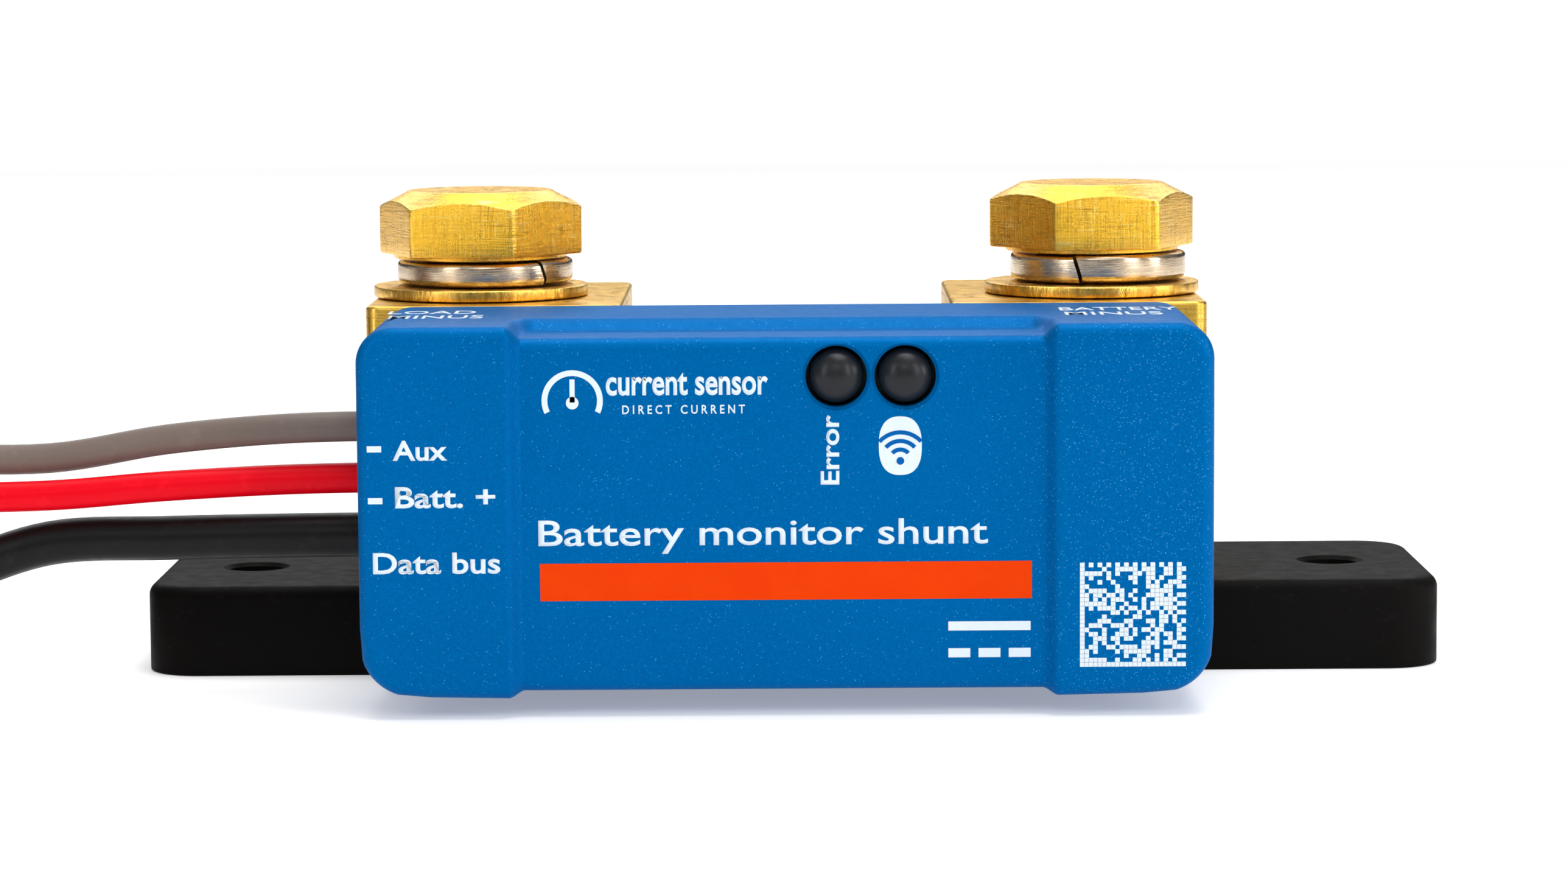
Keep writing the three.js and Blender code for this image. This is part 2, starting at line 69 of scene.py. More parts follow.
# =====================================================================================================
# materials
# =====================================================================================================
class Nodes:
    """A short way to write a material's node tree."""

    def __init__(self, name):
        self.mat = bpy.data.materials.new(name)
        self.mat.use_nodes = True
        self.tree = self.mat.node_tree
        self.bsdf = self.tree.nodes["Principled BSDF"]
        self.coord = self.tree.nodes.new("ShaderNodeTexCoord")
        self.pos = self.coord.outputs["Object"]

    def new(self, kind, **values):
        n = self.tree.nodes.new(kind)
        for k, v in values.items():
            if k in n.inputs.keys():
                self.feed(n.inputs[k], v)
            else:
                setattr(n, k, v)
        return n

    def feed(self, socket, v):
        if isinstance(v, bpy.types.NodeSocket):
            self.tree.links.new(v, socket)
        else:
            socket.default_value = v

    def set(self, **values):
        for k, v in values.items():
            self.feed(self.bsdf.inputs[k.replace("_", " ")], v)

    def math(self, op, a, b=0.0, c=0.0, clamp=False):
        n = self.tree.nodes.new("ShaderNodeMath")
        n.operation = op
        n.use_clamp = clamp
        for i, v in enumerate((a, b, c)):
            self.feed(n.inputs[i], v)
        return n.outputs[0]

    def scaled(self, sx, sy, sz, turn=(0, 0, 0)):
        m = self.new("ShaderNodeMapping")
        self.feed(m.inputs["Vector"], self.pos)
        m.inputs["Scale"].default_value = (sx, sy, sz)
        m.inputs["Rotation"].default_value = turn
        return m.outputs[0]

    def noise(self, scale, detail=2.0, rough=0.5, vector=None, distortion=0.0):
        n = self.new("ShaderNodeTexNoise")
        self.feed(n.inputs["Vector"], self.pos if vector is None else vector)
        n.inputs["Scale"].default_value = scale
        n.inputs["Detail"].default_value = detail
        n.inputs["Roughness"].default_value = rough
        n.inputs["Distortion"].default_value = distortion
        return n.outputs["Fac"]

    def voronoi(self, scale, vector=None, feature="F1", random_=1.0):
        n = self.new("ShaderNodeTexVoronoi")
        n.feature = feature
        self.feed(n.inputs["Vector"], self.pos if vector is None else vector)
        n.inputs["Scale"].default_value = scale
        n.inputs["Randomness"].default_value = random_
        return n

    def ramp(self, fac, *stops, interpolation="LINEAR"):
        n = self.new("ShaderNodeValToRGB")
        n.color_ramp.interpolation = interpolation
        el = n.color_ramp.elements
        while len(el) < len(stops):
            el.new(0.5)
        for e, (p, c) in zip(el, stops):
            e.position = p
            e.color = (c, c, c, 1) if isinstance(c, (int, float)) else (*c, 1)
        self.feed(n.inputs[0], fac)
        return n.outputs[0]

    def span(self, v, a, b, c, d):
        n = self.new("ShaderNodeMapRange")
        self.feed(n.inputs["Value"], v)
        for k, x in zip(("From Min", "From Max", "To Min", "To Max"), (a, b, c, d)):
            n.inputs[k].default_value = x
        return n.outputs[0]

    def mix(self, fac, a, b, mode="MIX"):
        n = self.new("ShaderNodeMix")
        n.data_type = "RGBA"
        n.blend_type = mode
        self.feed(n.inputs[0], fac)
        for i, v in ((6, a), (7, b)):
            self.feed(n.inputs[i], (*v, 1) if isinstance(v, tuple) and len(v) == 3 else v)
        return n.outputs[2]

    def bump(self, height, strength, distance, normal=None):
        n = self.new("ShaderNodeBump")
        self.feed(n.inputs["Height"], height)
        n.inputs["Strength"].default_value = strength
        n.inputs["Distance"].default_value = distance
        if normal is not None:
            self.feed(n.inputs["Normal"], normal)
        return n.outputs[0]

    def bumps(self, *layers):
        out = None
        for height, strength, distance in layers:
            out = self.bump(height, strength, distance, out)
        self.feed(self.bsdf.inputs["Normal"], out)

    def edges(self, lo=0.5, hi=0.6):
        """0 on flats to 1 on worn outer edges."""
        g = self.new("ShaderNodeNewGeometry")
        return self.ramp(g.outputs["Pointiness"], (lo, 0.0), (hi, 1.0))


def srgb(r, g, b):
    def lin(c):
        c /= 255
        return c / 12.92 if c <= 0.04045 else ((c + 0.055) / 1.055) ** 2.4
    return (lin(r), lin(g), lin(b))


def blue_plastic():
    m = Nodes("blue_housing")
    broad = m.noise(45, 3, 0.55)
    grain = m.noise(6500, 2, 0.6)
    cells = m.voronoi(8200)
    base = m.mix(broad, srgb(0, 86, 148), srgb(0, 93, 157))
    base = m.mix(m.ramp(grain, (0.40, 0.0), (0.75, 0.40)), base, srgb(2, 116, 188))
    # pearl flakes of the plastic's own pigment, partly painted glints: more of them towards the right-hand end, where
    # the light catches them
    sep = m.new("ShaderNodeSeparateXYZ", Vector=m.pos)
    glint_bias_right = m.span(sep.outputs["X"], 0.016, 0.028, 0.0, 0.075)
    pick = m.new("ShaderNodeSeparateColor", Color=cells.outputs["Color"])
    fleck_and_glint = m.math("GREATER_THAN", m.math("ADD", pick.outputs[0], glint_bias_right), 0.975)
    near = m.math("LESS_THAN", cells.outputs["Distance"], 0.40)
    fleck_and_glint = m.math("MULTIPLY", fleck_and_glint, near)
    # bright speck colour: partly the pearl pigment, partly a painted glint
    base = m.mix(m.math("MULTIPLY", fleck_and_glint, m.math("MULTIPLY_ADD", pick.outputs[1], 0.45, 0.15)), base, srgb(90, 186, 245))
    m.set(Base_Color=base, Metallic=0.22, Specular_IOR_Level=0.05, Specular_Tint=(0.08, 0.55, 1.0, 1))
    rough = m.span(m.noise(900, 3, 0.6), 0.3, 0.7, 0.40, 0.50)
    rough = m.math("SUBTRACT", rough, m.math("MULTIPLY", fleck_and_glint, 0.18))
    m.set(Roughness=rough)
    m.bumps((grain, 0.16, 0.00008), (m.noise(1500, 3, 0.6), 0.07, 0.00015), (m.noise(120, 2, 0.5), 0.05, 0.0006))
    return m.mat


def black_moulding(name, dark=(0.0028, 0.0025, 0.0023), light=(0.0062, 0.0055, 0.0050), rough=(0.46, 0.60), grain=1.0):
    m = Nodes(name)
    broad = m.noise(30, 4, 0.6)
    fine = m.noise(2400, 3, 0.65)
    scuff = m.ramp(m.noise(260, 5, 0.75, m.scaled(1.0, 0.25, 2.0)), (0.60, 0.0), (0.74, 1.0))
    base = m.mix(broad, dark, light)
    base = m.mix(m.math("MULTIPLY", scuff, 0.35), base, (0.018, 0.016, 0.015))
    specks = m.math("GREATER_THAN", m.noise(4600, 0, 0.5), 0.83)
    base = m.mix(m.math("MULTIPLY", specks, 0.35), base, (0.045, 0.042, 0.040))
    m.set(Base_Color=base, Roughness=m.span(m.noise(500, 4, 0.6), 0.3, 0.7, *rough), Specular_IOR_Level=0.035)
    m.bumps((fine, 0.10 * grain, 0.0001), (m.noise(300, 3, 0.5), 0.08 * grain, 0.0003), (scuff, 0.05, 0.0002))
    return m.mat


def brass(name, base_a=(0.66, 0.37, 0.040), base_b=(0.84, 0.52, 0.085), rough=(0.20, 0.36), lines=None, mottle=0.3, dents=1.0, dark=0.25, hatch=0.0, patches=0.0):
    m = Nodes(name)
    broad = m.noise(90, 4, 0.6)
    base = m.mix(broad, base_a, base_b)
    stain = m.ramp(m.noise(420, 5, 0.7), (0.50, 0.0), (0.72, 1.0))
    base = m.mix(m.math("MULTIPLY", stain, mottle), base, (0.42, 0.22, 0.05))
    # fine scratches in two directions
    s1 = m.ramp(m.noise(1.0, 2, 0.5, m.scaled(9000, 350, 9000, (0, 0, 0.6))), (0.66, 0.0), (0.72, 1.0))
    s2 = m.ramp(m.noise(1.0, 2, 0.5, m.scaled(400, 9000, 9000, (0, 0, 0.25))), (0.67, 0.0), (0.73, 1.0))
    scratch = m.math("MAXIMUM", s1, s2)
    pits = m.ramp(m.noise(1300, 2, 0.5), (0.26, 1.0), (0.33, 0.0))
    base = m.mix(m.math("MULTIPLY", pits, 0.4), base, (0.30, 0.15, 0.03))
    worn = m.edges(0.51, 0.58)
    base = m.mix(m.math("MULTIPLY", worn, 0.45), base, (0.95, 0.68, 0.20))
    layers = [(scratch, -0.10, 0.00006), (pits, -0.18 * dents, 0.00012), (m.noise(160, 3, 0.55), 0.10 * dents, 0.0006)]
    r = m.span(m.noise(700, 4, 0.6), 0.3, 0.7, *rough)
    if lines is not None:  # machining lines: scale along X, Y, Z
        tool = m.noise(1.0, 3, 0.65, m.scaled(*lines))
        groove = m.ramp(tool, (0.36, 1.0), (0.48, 0.0))
        base = m.mix(m.math("MULTIPLY", groove, dark), base, (0.24, 0.12, 0.03))
        r = m.math("ADD", r, m.math("MULTIPLY", groove, 0.12))
        layers.append((tool, 0.25, 0.00012))
    if hatch:  # tool marks across and along, and bright nicks
        across = m.noise(1.0, 4, 0.7, m.scaled(260, 260, 5200))
        along = m.noise(1.0, 3, 0.7, m.scaled(5200, 5200, 200))
        rub = m.ramp(m.noise(230, 3, 0.6), (0.42, 0.25), (0.62, 1.0))
        dark_lines = m.math("MAXIMUM", m.ramp(across, (0.36, 1.0), (0.46, 0.0)), m.ramp(along, (0.36, 0.9), (0.45, 0.0)))
        base = m.mix(m.math("MULTIPLY", m.math("MULTIPLY", dark_lines, rub), 0.62 * hatch), base, (0.36, 0.19, 0.022))
        bright = m.math("MAXIMUM", m.ramp(across, (0.56, 0.0), (0.66, 1.0)), m.ramp(along, (0.57, 0.0), (0.66, 1.0)))
        base = m.mix(m.math("MULTIPLY", m.math("MULTIPLY", bright, rub), 0.55 * hatch), base, (1.0, 0.80, 0.30))
        nick = m.ramp(m.noise(620, 2, 0.5), (0.72, 0.0), (0.79, 1.0))
        layers += [(across, 0.30 * hatch, 0.00018), (along, 0.24 * hatch, 0.00014), (nick, -0.25 * hatch, 0.00012)]
    if patches:  # rough sheared rim
        p = m.noise(1.0, 4, 0.7, m.scaled(1100, 1100, 420))
        base = m.mix(m.math("MULTIPLY", m.ramp(p, (0.40, 1.0), (0.55, 0.0)), 0.7 * patches), base, (0.30, 0.155, 0.025))
        base = m.mix(m.math("MULTIPLY", m.ramp(p, (0.58, 0.0), (0.68, 1.0)), 0.5 * patches), base, (1.0, 0.80, 0.36))
        layers.append((p, 0.6 * patches, 0.00022))
    m.set(Base_Color=base, Metallic=1.0, Roughness=r)
    m.bumps(*layers)
    return m.mat


def plain_metal(name, a, b, rough=(0.25, 0.4), lines=None, stains=0.25):
    m = Nodes(name)
    base = m.mix(m.noise(150, 4, 0.6), a, b)
    stain = m.ramp(m.noise(600, 4, 0.7), (0.52, 0.0), (0.75, 1.0))
    base = m.mix(m.math("MULTIPLY", stain, stains), base, tuple(c * 0.35 for c in a))
    layers = [(m.noise(1400, 3, 0.6), 0.08, 0.00008)]
    if lines:
        tool = m.noise(1.0, 2, 0.6, m.scaled(*lines))
        base = m.mix(m.ramp(tool, (0.35, 0.35), (0.6, 0.0)), base, tuple(c * 0.45 for c in a))
        layers.append((tool, 0.22, 0.0001))
    worn = m.edges(0.51, 0.58)
    base = m.mix(m.math("MULTIPLY", worn, 0.4), base, tuple(min(1, c * 1.5) for c in b))
    m.set(Base_Color=base, Metallic=1.0, Roughness=m.span(m.noise(800, 3, 0.6), 0.3, 0.7, *rough))
    m.bumps(*layers)
    return m.mat


def soft_plastic(name, a, b, rough=(0.32, 0.45), grain=1.0, coat=0.0, spec=0.5):
    m = Nodes(name)
    base = m.mix(m.noise(130, 4, 0.6), a, b)
    smear = m.ramp(m.noise(500, 4, 0.7), (0.55, 0.0), (0.8, 0.5))
    base = m.mix(smear, base, tuple(min(1, c * 1.25 + 0.01) for c in b))
    m.set(Base_Color=base, Roughness=m.span(m.noise(700, 3, 0.6), 0.3, 0.7, *rough), Coat_Weight=coat, Coat_Roughness=0.25, Specular_IOR_Level=spec)
    m.bumps((m.noise(2600, 2, 0.6), 0.06 * grain, 0.00008), (m.noise(380, 3, 0.5), 0.10 * grain, 0.0003))
    return m.mat


def print_ink(name, a, b, specks=0.12, spec=0.3):
    """Screen print with a few thin spots."""
    m = Nodes(name)
    thin = m.ramp(m.noise(3400, 3, 0.7), (0.26, 1.0), (0.36, 0.0))
    base = m.mix(m.noise(300, 3, 0.6), a, b)
    base = m.mix(m.math("MULTIPLY", thin, specks), base, srgb(0, 96, 170))
    m.set(Base_Color=base, Roughness=m.span(m.noise(1500, 3, 0.6), 0.3, 0.7, 0.42, 0.58), Specular_IOR_Level=spec)
    m.bumps((m.noise(5200, 2, 0.6), 0.10, 0.00006))
    return m.mat


M = {
    "blue": blue_plastic(),
    "base": black_moulding("base_moulding"),
    "plate": black_moulding("plate_black", rough=(0.5, 0.65)),
    "block": brass("brass_block", rough=(0.26, 0.42), lines=(120, 120, 5200), mottle=0.25, dark=0.45),
    "bolt": brass("brass_bolt", base_a=(0.94, 0.47, 0.028), base_b=(1.0, 0.60, 0.060), rough=(0.20, 0.34), mottle=0.10, hatch=1.3),
    "thread": brass("brass_thread", rough=(0.25, 0.4), mottle=0.35),
    "washer": brass("brass_washer", base_a=(0.86, 0.48, 0.060), base_b=(1.0, 0.64, 0.14), rough=(0.24, 0.42), mottle=0.25, dents=1.2, patches=0.7),
    "spring": plain_metal("spring_bronze", (0.60, 0.45, 0.30), (0.78, 0.63, 0.46), rough=(0.16, 0.32), lines=(260, 260, 9000), stains=0.2),
    "brass_small": brass("brass_small", rough=(0.25, 0.4)),
    "manganin": plain_metal("manganin", (0.46, 0.30, 0.19), (0.58, 0.40, 0.26), rough=(0.32, 0.48), lines=(250, 4000, 6000), stains=0.4),
    "solder": plain_metal("solder", (0.58, 0.58, 0.57), (0.70, 0.70, 0.68), rough=(0.22, 0.4), stains=0.35),
    "steel": plain_metal("zinc_steel", (0.55, 0.56, 0.58), (0.66, 0.67, 0.68), rough=(0.25, 0.4)),
    "tin": plain_metal("tinned_copper", (0.60, 0.60, 0.59), (0.72, 0.71, 0.69), rough=(0.34, 0.46), stains=0.12),
    "board": soft_plastic("solder_mask", (0.008, 0.10, 0.035), (0.012, 0.14, 0.05), rough=(0.25, 0.4)),
    "led": soft_plastic("led_chip", (0.80, 0.76, 0.55), (0.88, 0.86, 0.70)),
    "ivory": soft_plastic("ivory_plastic", (0.62, 0.58, 0.46), (0.70, 0.67, 0.56)),
    "chip": soft_plastic("chip_black", (0.014, 0.014, 0.015), (0.022, 0.022, 0.024), rough=(0.4, 0.6)),
    "grey": soft_plastic("grey_insulation", srgb(104, 91, 84), srgb(122, 109, 102), rough=(0.34, 0.46), spec=0.16),
    "red": soft_plastic("red_insulation", srgb(218, 0, 18), srgb(230, 0, 28), rough=(0.34, 0.46), spec=0.10),
    "jacket": soft_plastic("black_jacket", (0.0028, 0.0028, 0.0030), (0.0055, 0.0055, 0.0058), rough=(0.34, 0.46), spec=0.16),
    "connector": soft_plastic("connector_black", (0.012, 0.012, 0.012), (0.02, 0.02, 0.02), rough=(0.38, 0.52)),
    "tie": soft_plastic("tie_black", (0.010, 0.010, 0.011), (0.018, 0.018, 0.018), rough=(0.4, 0.55)),
    "sleeve_red": soft_plastic("sleeve_red", srgb(190, 10, 20), srgb(214, 24, 34), rough=(0.3, 0.42)),
    "sleeve_grey": soft_plastic("sleeve_black", (0.012, 0.012, 0.012), (0.02, 0.02, 0.02), rough=(0.35, 0.5)),
    "ink": print_ink("ink_white", srgb(204, 220, 234), srgb(226, 235, 243), 0.35),
    "orange": print_ink("ink_orange", srgb(222, 54, 0), srgb(230, 64, 0), 0.06, 0.05),
    "ink_blue": print_ink("ink_blue", srgb(0, 84, 156), srgb(0, 94, 168), 0.05, 0.06),
}


def lens_material():
    m = Nodes("smoked_lens")
    base = m.mix(m.noise(700, 3, 0.6), (0.007, 0.008, 0.010), (0.012, 0.014, 0.017))
    m.set(Base_Color=base, Roughness=m.span(m.noise(1500, 2, 0.6), 0.3, 0.7, 0.30, 0.40), Specular_IOR_Level=0.26)
    m.bumps((m.noise(2400, 2, 0.5), 0.06, 0.0001), (m.noise(900, 2, 0.5), 0.03, 0.0003))
    return m.mat


M["lens"] = lens_material()

# CAD nodes that stay as they are get these
CAD_LOOK = {
    "back_plate": "plate", "circuit_board": "board", "error_led_chip": "led", "wireless_led_chip": "led",
    "sense_screw_left": "brass_small", "sense_screw_right": "brass_small", "sense_spacer_left": "brass_small",
    "sense_spacer_right": "brass_small", "microcontroller": "chip", "radio_module": "tin", "power_inductor": "chip",
    "smoothing_capacitor": "chip", "aux_socket": "chip", "battery_sense_socket": "chip", "data_socket": "ivory",
    "aux_ferrule": "tin", "battery_sense_ferrule": "tin",
}
for node, look in CAD_LOOK.items():
    o = NODES[node]
    o.data.materials.clear()
    o.data.materials.append(M[look])


# =====================================================================================================
# mesh helpers
# =====================================================================================================
def piece(name, verts, faces, look, body="root", replaces=(), slot=None, smooth=35.0, weld=True):
    me = bpy.data.meshes.new(name)
    me.from_pydata([(x * MM, y * MM, z * MM) for x, y, z in verts], [], faces)
    return settle(name, me, look, body, replaces, slot, smooth, weld)


def settle(name, me, look, body="root", replaces=(), slot=None, smooth=35.0, weld=True):
    bm = bmesh.new()
    bm.from_mesh(me)
    if weld:
        bmesh.ops.remove_doubles(bm, verts=bm.verts, dist=2e-7)
    bmesh.ops.dissolve_degenerate(bm, edges=bm.edges, dist=1e-7)
    bmesh.ops.recalc_face_normals(bm, faces=bm.faces)
    bm.to_mesh(me)
    bm.free()
    obj = bpy.data.objects.new(name, me)
    scene.collection.objects.link(obj)
    me.materials.clear()
    me.materials.append(M[look])
    if smooth is not None:
        me.shade_smooth()
        me.set_sharp_from_angle(angle=math.radians(smooth))
    if body:
        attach(obj, body)
    if replaces:
        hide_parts(*([replaces] if isinstance(replaces, str) else replaces))
    return obj


def raw(name, verts, faces):
    me = bpy.data.meshes.new(name)
    me.from_pydata([(x * MM, y * MM, z * MM) for x, y, z in verts], [], faces)
    bm = bmesh.new()
    bm.from_mesh(me)
    bmesh.ops.remove_doubles(bm, verts=bm.verts, dist=2e-7)
    bmesh.ops.recalc_face_normals(bm, faces=bm.faces)
    bm.to_mesh(me)
    bm.free()
    obj = bpy.data.objects.new(name, me)
    scene.collection.objects.link(obj)
    return obj


def carve(obj, cutters, operation="DIFFERENCE"):
    """Applies booleans to a raw object and throws the cutters away."""
    for c in cutters:
        mod = obj.modifiers.new("cut", "BOOLEAN")
        mod.operation, mod.solver, mod.object = operation, "EXACT", c
        dg = bpy.context.evaluated_depsgraph_get()
        me = bpy.data.meshes.new_from_object(obj.evaluated_get(dg))
        obj.modifiers.remove(mod)
        old = obj.data
        obj.data = me
        bpy.data.meshes.remove(old)
        old = c.data
        bpy.data.objects.remove(c)
        bpy.data.meshes.remove(old)
    return obj


def take(obj):
    """The raw object's mesh, with the object removed."""
    me = obj.data
    bpy.data.objects.remove(obj)
    return me


def rings(loops, closed=True, caps=(True, True)):
    """Vertices and faces of loops of equal length joined in order."""
    n = len(loops[0])
    verts = [p for loop in loops for p in loop]
    faces = []
    for k in range(len(loops) - 1):
        for i in range(n if closed else n - 1):
            j = (i + 1) % n
            faces.append((k * n + i, k * n + j, (k + 1) * n + j, (k + 1) * n + i))
    if caps[0]:
        faces.append(tuple(range(n))[::-1])
    if caps[1]:
        faces.append(tuple(range((len(loops) - 1) * n, len(loops) * n)))
    return verts, faces


def lathe(profile, n=96, x=0.0, y=0.0, z=0.0, axis="Z"):
    """A closed body from a profile of (radius, height): open profiles that start and end on the axis, or closed ones."""
    on_axis = profile[0][0] < 1e-9
    pts = profile[1:-1] if on_axis else profile
    loops = []
    for r, h in pts:
        loop = []
        for i in range(n):
            a = 2 * math.pi * i / n
            loop.append((r * math.cos(a), r * math.sin(a), h))
        loops.append(loop)
    if on_axis:
        v, f = rings(loops, caps=(False, False))
        for k, (r, h) in ((0, profile[0]), (len(loops) - 1, profile[-1])):
            c = len(v)
            v.append((0, 0, h))
            for i in range(n):
                f.append((c, k * n + i, k * n + (i + 1) % n))
    else:
        v, f = rings(loops + [loops[0]], caps=(False, False))
    def place(p):
        if axis == "Z":
            q = p
        elif axis == "Y":  # height runs along -Y
            q = (p[0], -p[2], p[1])
        else:  # height runs along -X
            q = (-p[2], p[0], p[1])
        return (q[0] + x, q[1] + y, q[2] + z)
    return [place(p) for p in v], f


def rounded(points, radius, steps=5):
    """An open polyline with its inner corners rounded."""
    out = [points[0]]
    for a, b, c in zip(points, points[1:], points[2:]):
        A, B, C = Vector(a), Vector(b), Vector(c)
        u, w = (A - B), (C - B)
        r = min(radius, u.length * 0.49, w.length * 0.49)
        p, q = B + u.normalized() * r, B + w.normalized() * r
        for i in range(steps + 1):
            t = i / steps
            out.append(tuple((p * (1 - t) + B * t) * (1 - t) + (B * (1 - t) + q * t) * t))
    out.append(points[-1])
    return out


def outline(x0, x1, y0, y1, r, n=10):
    """Counter-clockwise rounded rectangle."""
    out = []
    for cx, cy, a0 in ((x1 - r, y0 + r, -90), (x1 - r, y1 - r, 0), (x0 + r, y1 - r, 90), (x0 + r, y0 + r, 180)):
        for i in range(n + 1):
            a = math.radians(a0 + 90 * i / n)
            out.append((cx + r * math.cos(a), cy + r * math.sin(a)))
    return out


def slab(x0, x1, y0, y1, z0, z1, r, top=0.3, low=0.3, n=8, steps=4):
    """A box along Z with rounded vertical corners and rounded top and bottom edges."""
    loops = []
    for i in range(steps + 1):
        a = math.pi / 2 * i / steps
        loops.append([(x, y, z0 + low * (1 - math.sin(a))) for x, y in
                      outline(x0 + low * (1 - math.cos(a)), x1 - low * (1 - math.cos(a)), y0 + low * (1 - math.cos(a)), y1 - low * (1 - math.cos(a)),
                              max(r - low * (1 - math.cos(a)), 0.02), n)])
    loops = loops[::-1]
    # loops now run from the inset bottom edge outwards
    loops.sort(key=lambda l: l[0][2])
    up = []
    for i in range(steps + 1):
        a = math.pi / 2 * i / steps
        d = top * (1 - math.cos(a))
        up.append([(x, y, z1 - top + top * math.sin(a)) for x, y in outline(x0 + d, x1 - d, y0 + d, y1 - d, max(r - d, 0.02), n)])
    low_loops = []
    for i in range(steps + 1):
        a = math.pi / 2 * (steps - i) / steps
        d = low * (1 - math.cos(a))
        low_loops.append([(x, y, z0 + low - low * math.sin(a)) for x, y in outline(x0 + d, x1 - d, y0 + d, y1 - d, max(r - d, 0.02), n)])
    return rings(low_loops + up)


def block_box(x0, x1, y0, y1, z0, z1):
    v = [(x, y, z) for z in (z0, z1) for x, y in ((x0, y0), (x1, y0), (x1, y1), (x0, y1))]
    return v, [(3, 2, 1, 0), (4, 5, 6, 7), (0, 1, 5, 4), (1, 2, 6, 5), (2, 3, 7, 6), (3, 0, 4, 7)]


def cutter_cyl(x, y, z0, z1, r, n=64, axis="Z", flare=None):
    """A cylinder cutter; flare = (extra radius, depth) widens its upper end."""
    prof = [(0, z0), (r, z0), (r, z1), (0, z1)]
    if flare:
        e, d, top = flare
        prof = [(0, z0), (r, z0), (r, top - d), (r + e, top), (r + e + (z1 - top), z1), (0, z1)]
    return prof


def merged(*parts):
    """Several (verts, faces) as one."""
    v, f = [], []
    for pv, pf in parts:
        k = len(v)
        v += list(pv)
        f += [tuple(i + k for i in q) for q in pf]
    return v, f


# =====================================================================================================
# cords: the same routes as the CAD solids, with the stored length wound in its coil
# =====================================================================================================
PILE_X = -107.5
PORT_X, PORT_Y = SHIFT - 37.25, -15.0
THIN_TURNS, THIN_STEP = [9.4, 12.2, 15.0, 17.8], 2.72
DATA_TURNS, DATA_STEP = [17.9, 21.95, 26.0], 4.05
DATA_COIL_Z, SENSE_COIL_Z, AUX_COIL_Z = 0.5, 9.55, 21.4


def catmull(points, per=6):
    """Centripetal Catmull-Rom through the points, as three.js makes it."""
    P = [Vector(p) for p in points]
    P = [P[0] * 2 - P[1]] + P + [P[-1] * 2 - P[-2]]
    out = []
    for a, b, c, d in zip(P, P[1:], P[2:], P[3:]):
        t0, t1 = 0.0, max((b - a).length, 1e-6) ** 0.5
        t2 = t1 + max((c - b).length, 1e-6) ** 0.5
        t3 = t2 + max((d - c).length, 1e-6) ** 0.5
        for i in range(per):
            t = t1 + (t2 - t1) * i / per
            A1 = a * ((t1 - t) / (t1 - t0)) + b * ((t - t0) / (t1 - t0))
            A2 = b * ((t2 - t) / (t2 - t1)) + c * ((t - t1) / (t2 - t1))
            A3 = c * ((t3 - t) / (t3 - t2)) + d * ((t - t2) / (t3 - t2))
            B1 = A1 * ((t2 - t) / (t2 - t0)) + A2 * ((t - t0) / (t2 - t0))
            B2 = A2 * ((t3 - t) / (t3 - t1)) + A3 * ((t - t1) / (t3 - t1))
            out.append(B1 * ((t2 - t) / (t2 - t1)) + B2 * ((t - t1) / (t2 - t1)))
    out.append(P[-2])
    return out


def winding(cx, cy, turns, levels, start_outside=True, per=40, seed=1):
    """Clockwise turns from the south point, a layer at a time: inwards on the first layer, outwards on the next."""
    rnd = random.Random(seed)
    route = []
    seq = []
    for k, z in enumerate(levels):
        order = list(reversed(turns)) if (k % 2 == 0) == start_outside else list(turns)
        seq += [(r, z) for r in order]
    for k, (r, z) in enumerate(seq):
        nr, nz = seq[k + 1] if k + 1 < len(seq) else (r, z)
        for i in range(per):
            t = i / per
            s = min(1.0, max(0.0, (t - 0.80) / 0.20))
            s = s * s * (3 - 2 * s)
            a = -math.pi / 2 - 2 * math.pi * t
            rr, zz = r + (nr - r) * s, z + (nz - z) * s
            route.append(Vector((cx + rr * math.cos(a), cy + rr * math.sin(a), zz)))
    return route


def cord_curve(name, points, diameter, look, body):
    cu = bpy.data.curves.new(name, "CURVE")
    cu.dimensions = "3D"
    cu.bevel_depth = diameter / 2 * MM
    cu.bevel_resolution = 5
    cu.use_fill_caps = True
    cu.twist_mode = "MINIMUM"
    s = cu.splines.new("POLY")
    s.points.add(len(points) - 1)
    for q, p in zip(s.points, points):
        q.co = (p.x * MM, p.y * MM, p.z * MM, 1)
    s.use_smooth = True
    cu.materials.append(M[look])
    o = bpy.data.objects.new(name, cu)
    scene.collection.objects.link(o)
    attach(o, body)
    return o


def length_of(points):
    return sum((b - a).length for a, b in zip(points, points[1:])) * MM


def thin_lead(name, z, d, far, sag, coil_z, top_first, tail, look, body):
    step = THIN_STEP
    levels = [coil_z + d / 2 + k * step for k in range(4)]
    if top_first:
        levels = levels[::-1]
    enter = levels[0]
    X = PORT_X
    lead = [
        (X + 4.2, PORT_Y, z), (X, PORT_Y, z), (X - 8, PORT_Y + 0.3 * (far - PORT_Y), z - sag * 0.09),
        (X - 18, PORT_Y + 0.9 * (far - PORT_Y), z - sag * 0.42), (X - 28.5, far, z - sag),
        (X - 42, far, (z - sag) * 0.45 + enter * 0.55 - 0.35), (X - 53, far, enter - 0.06), (-97.1, far, enter), (-103, far, enter)]
    cy = far + THIN_TURNS[-1]
    coil = winding(PILE_X, cy, THIN_TURNS, levels)
    last = coil[-1]
    route = catmull(lead, 8) + coil + [Vector(p) for p in catmull([tuple(coil[-1]), *[tuple(p) for p in tail]], 6)[1:]]
    return cord_curve(name, route, d, look, body), length_of(route), route


def arc_points(cx, cy, pairs):
    """(angle in degrees, radius, z) as points about a coil's centre."""
    return [(cx + r * math.cos(math.radians(a)), cy + r * math.sin(math.radians(a)), z) for a, r, z in pairs]


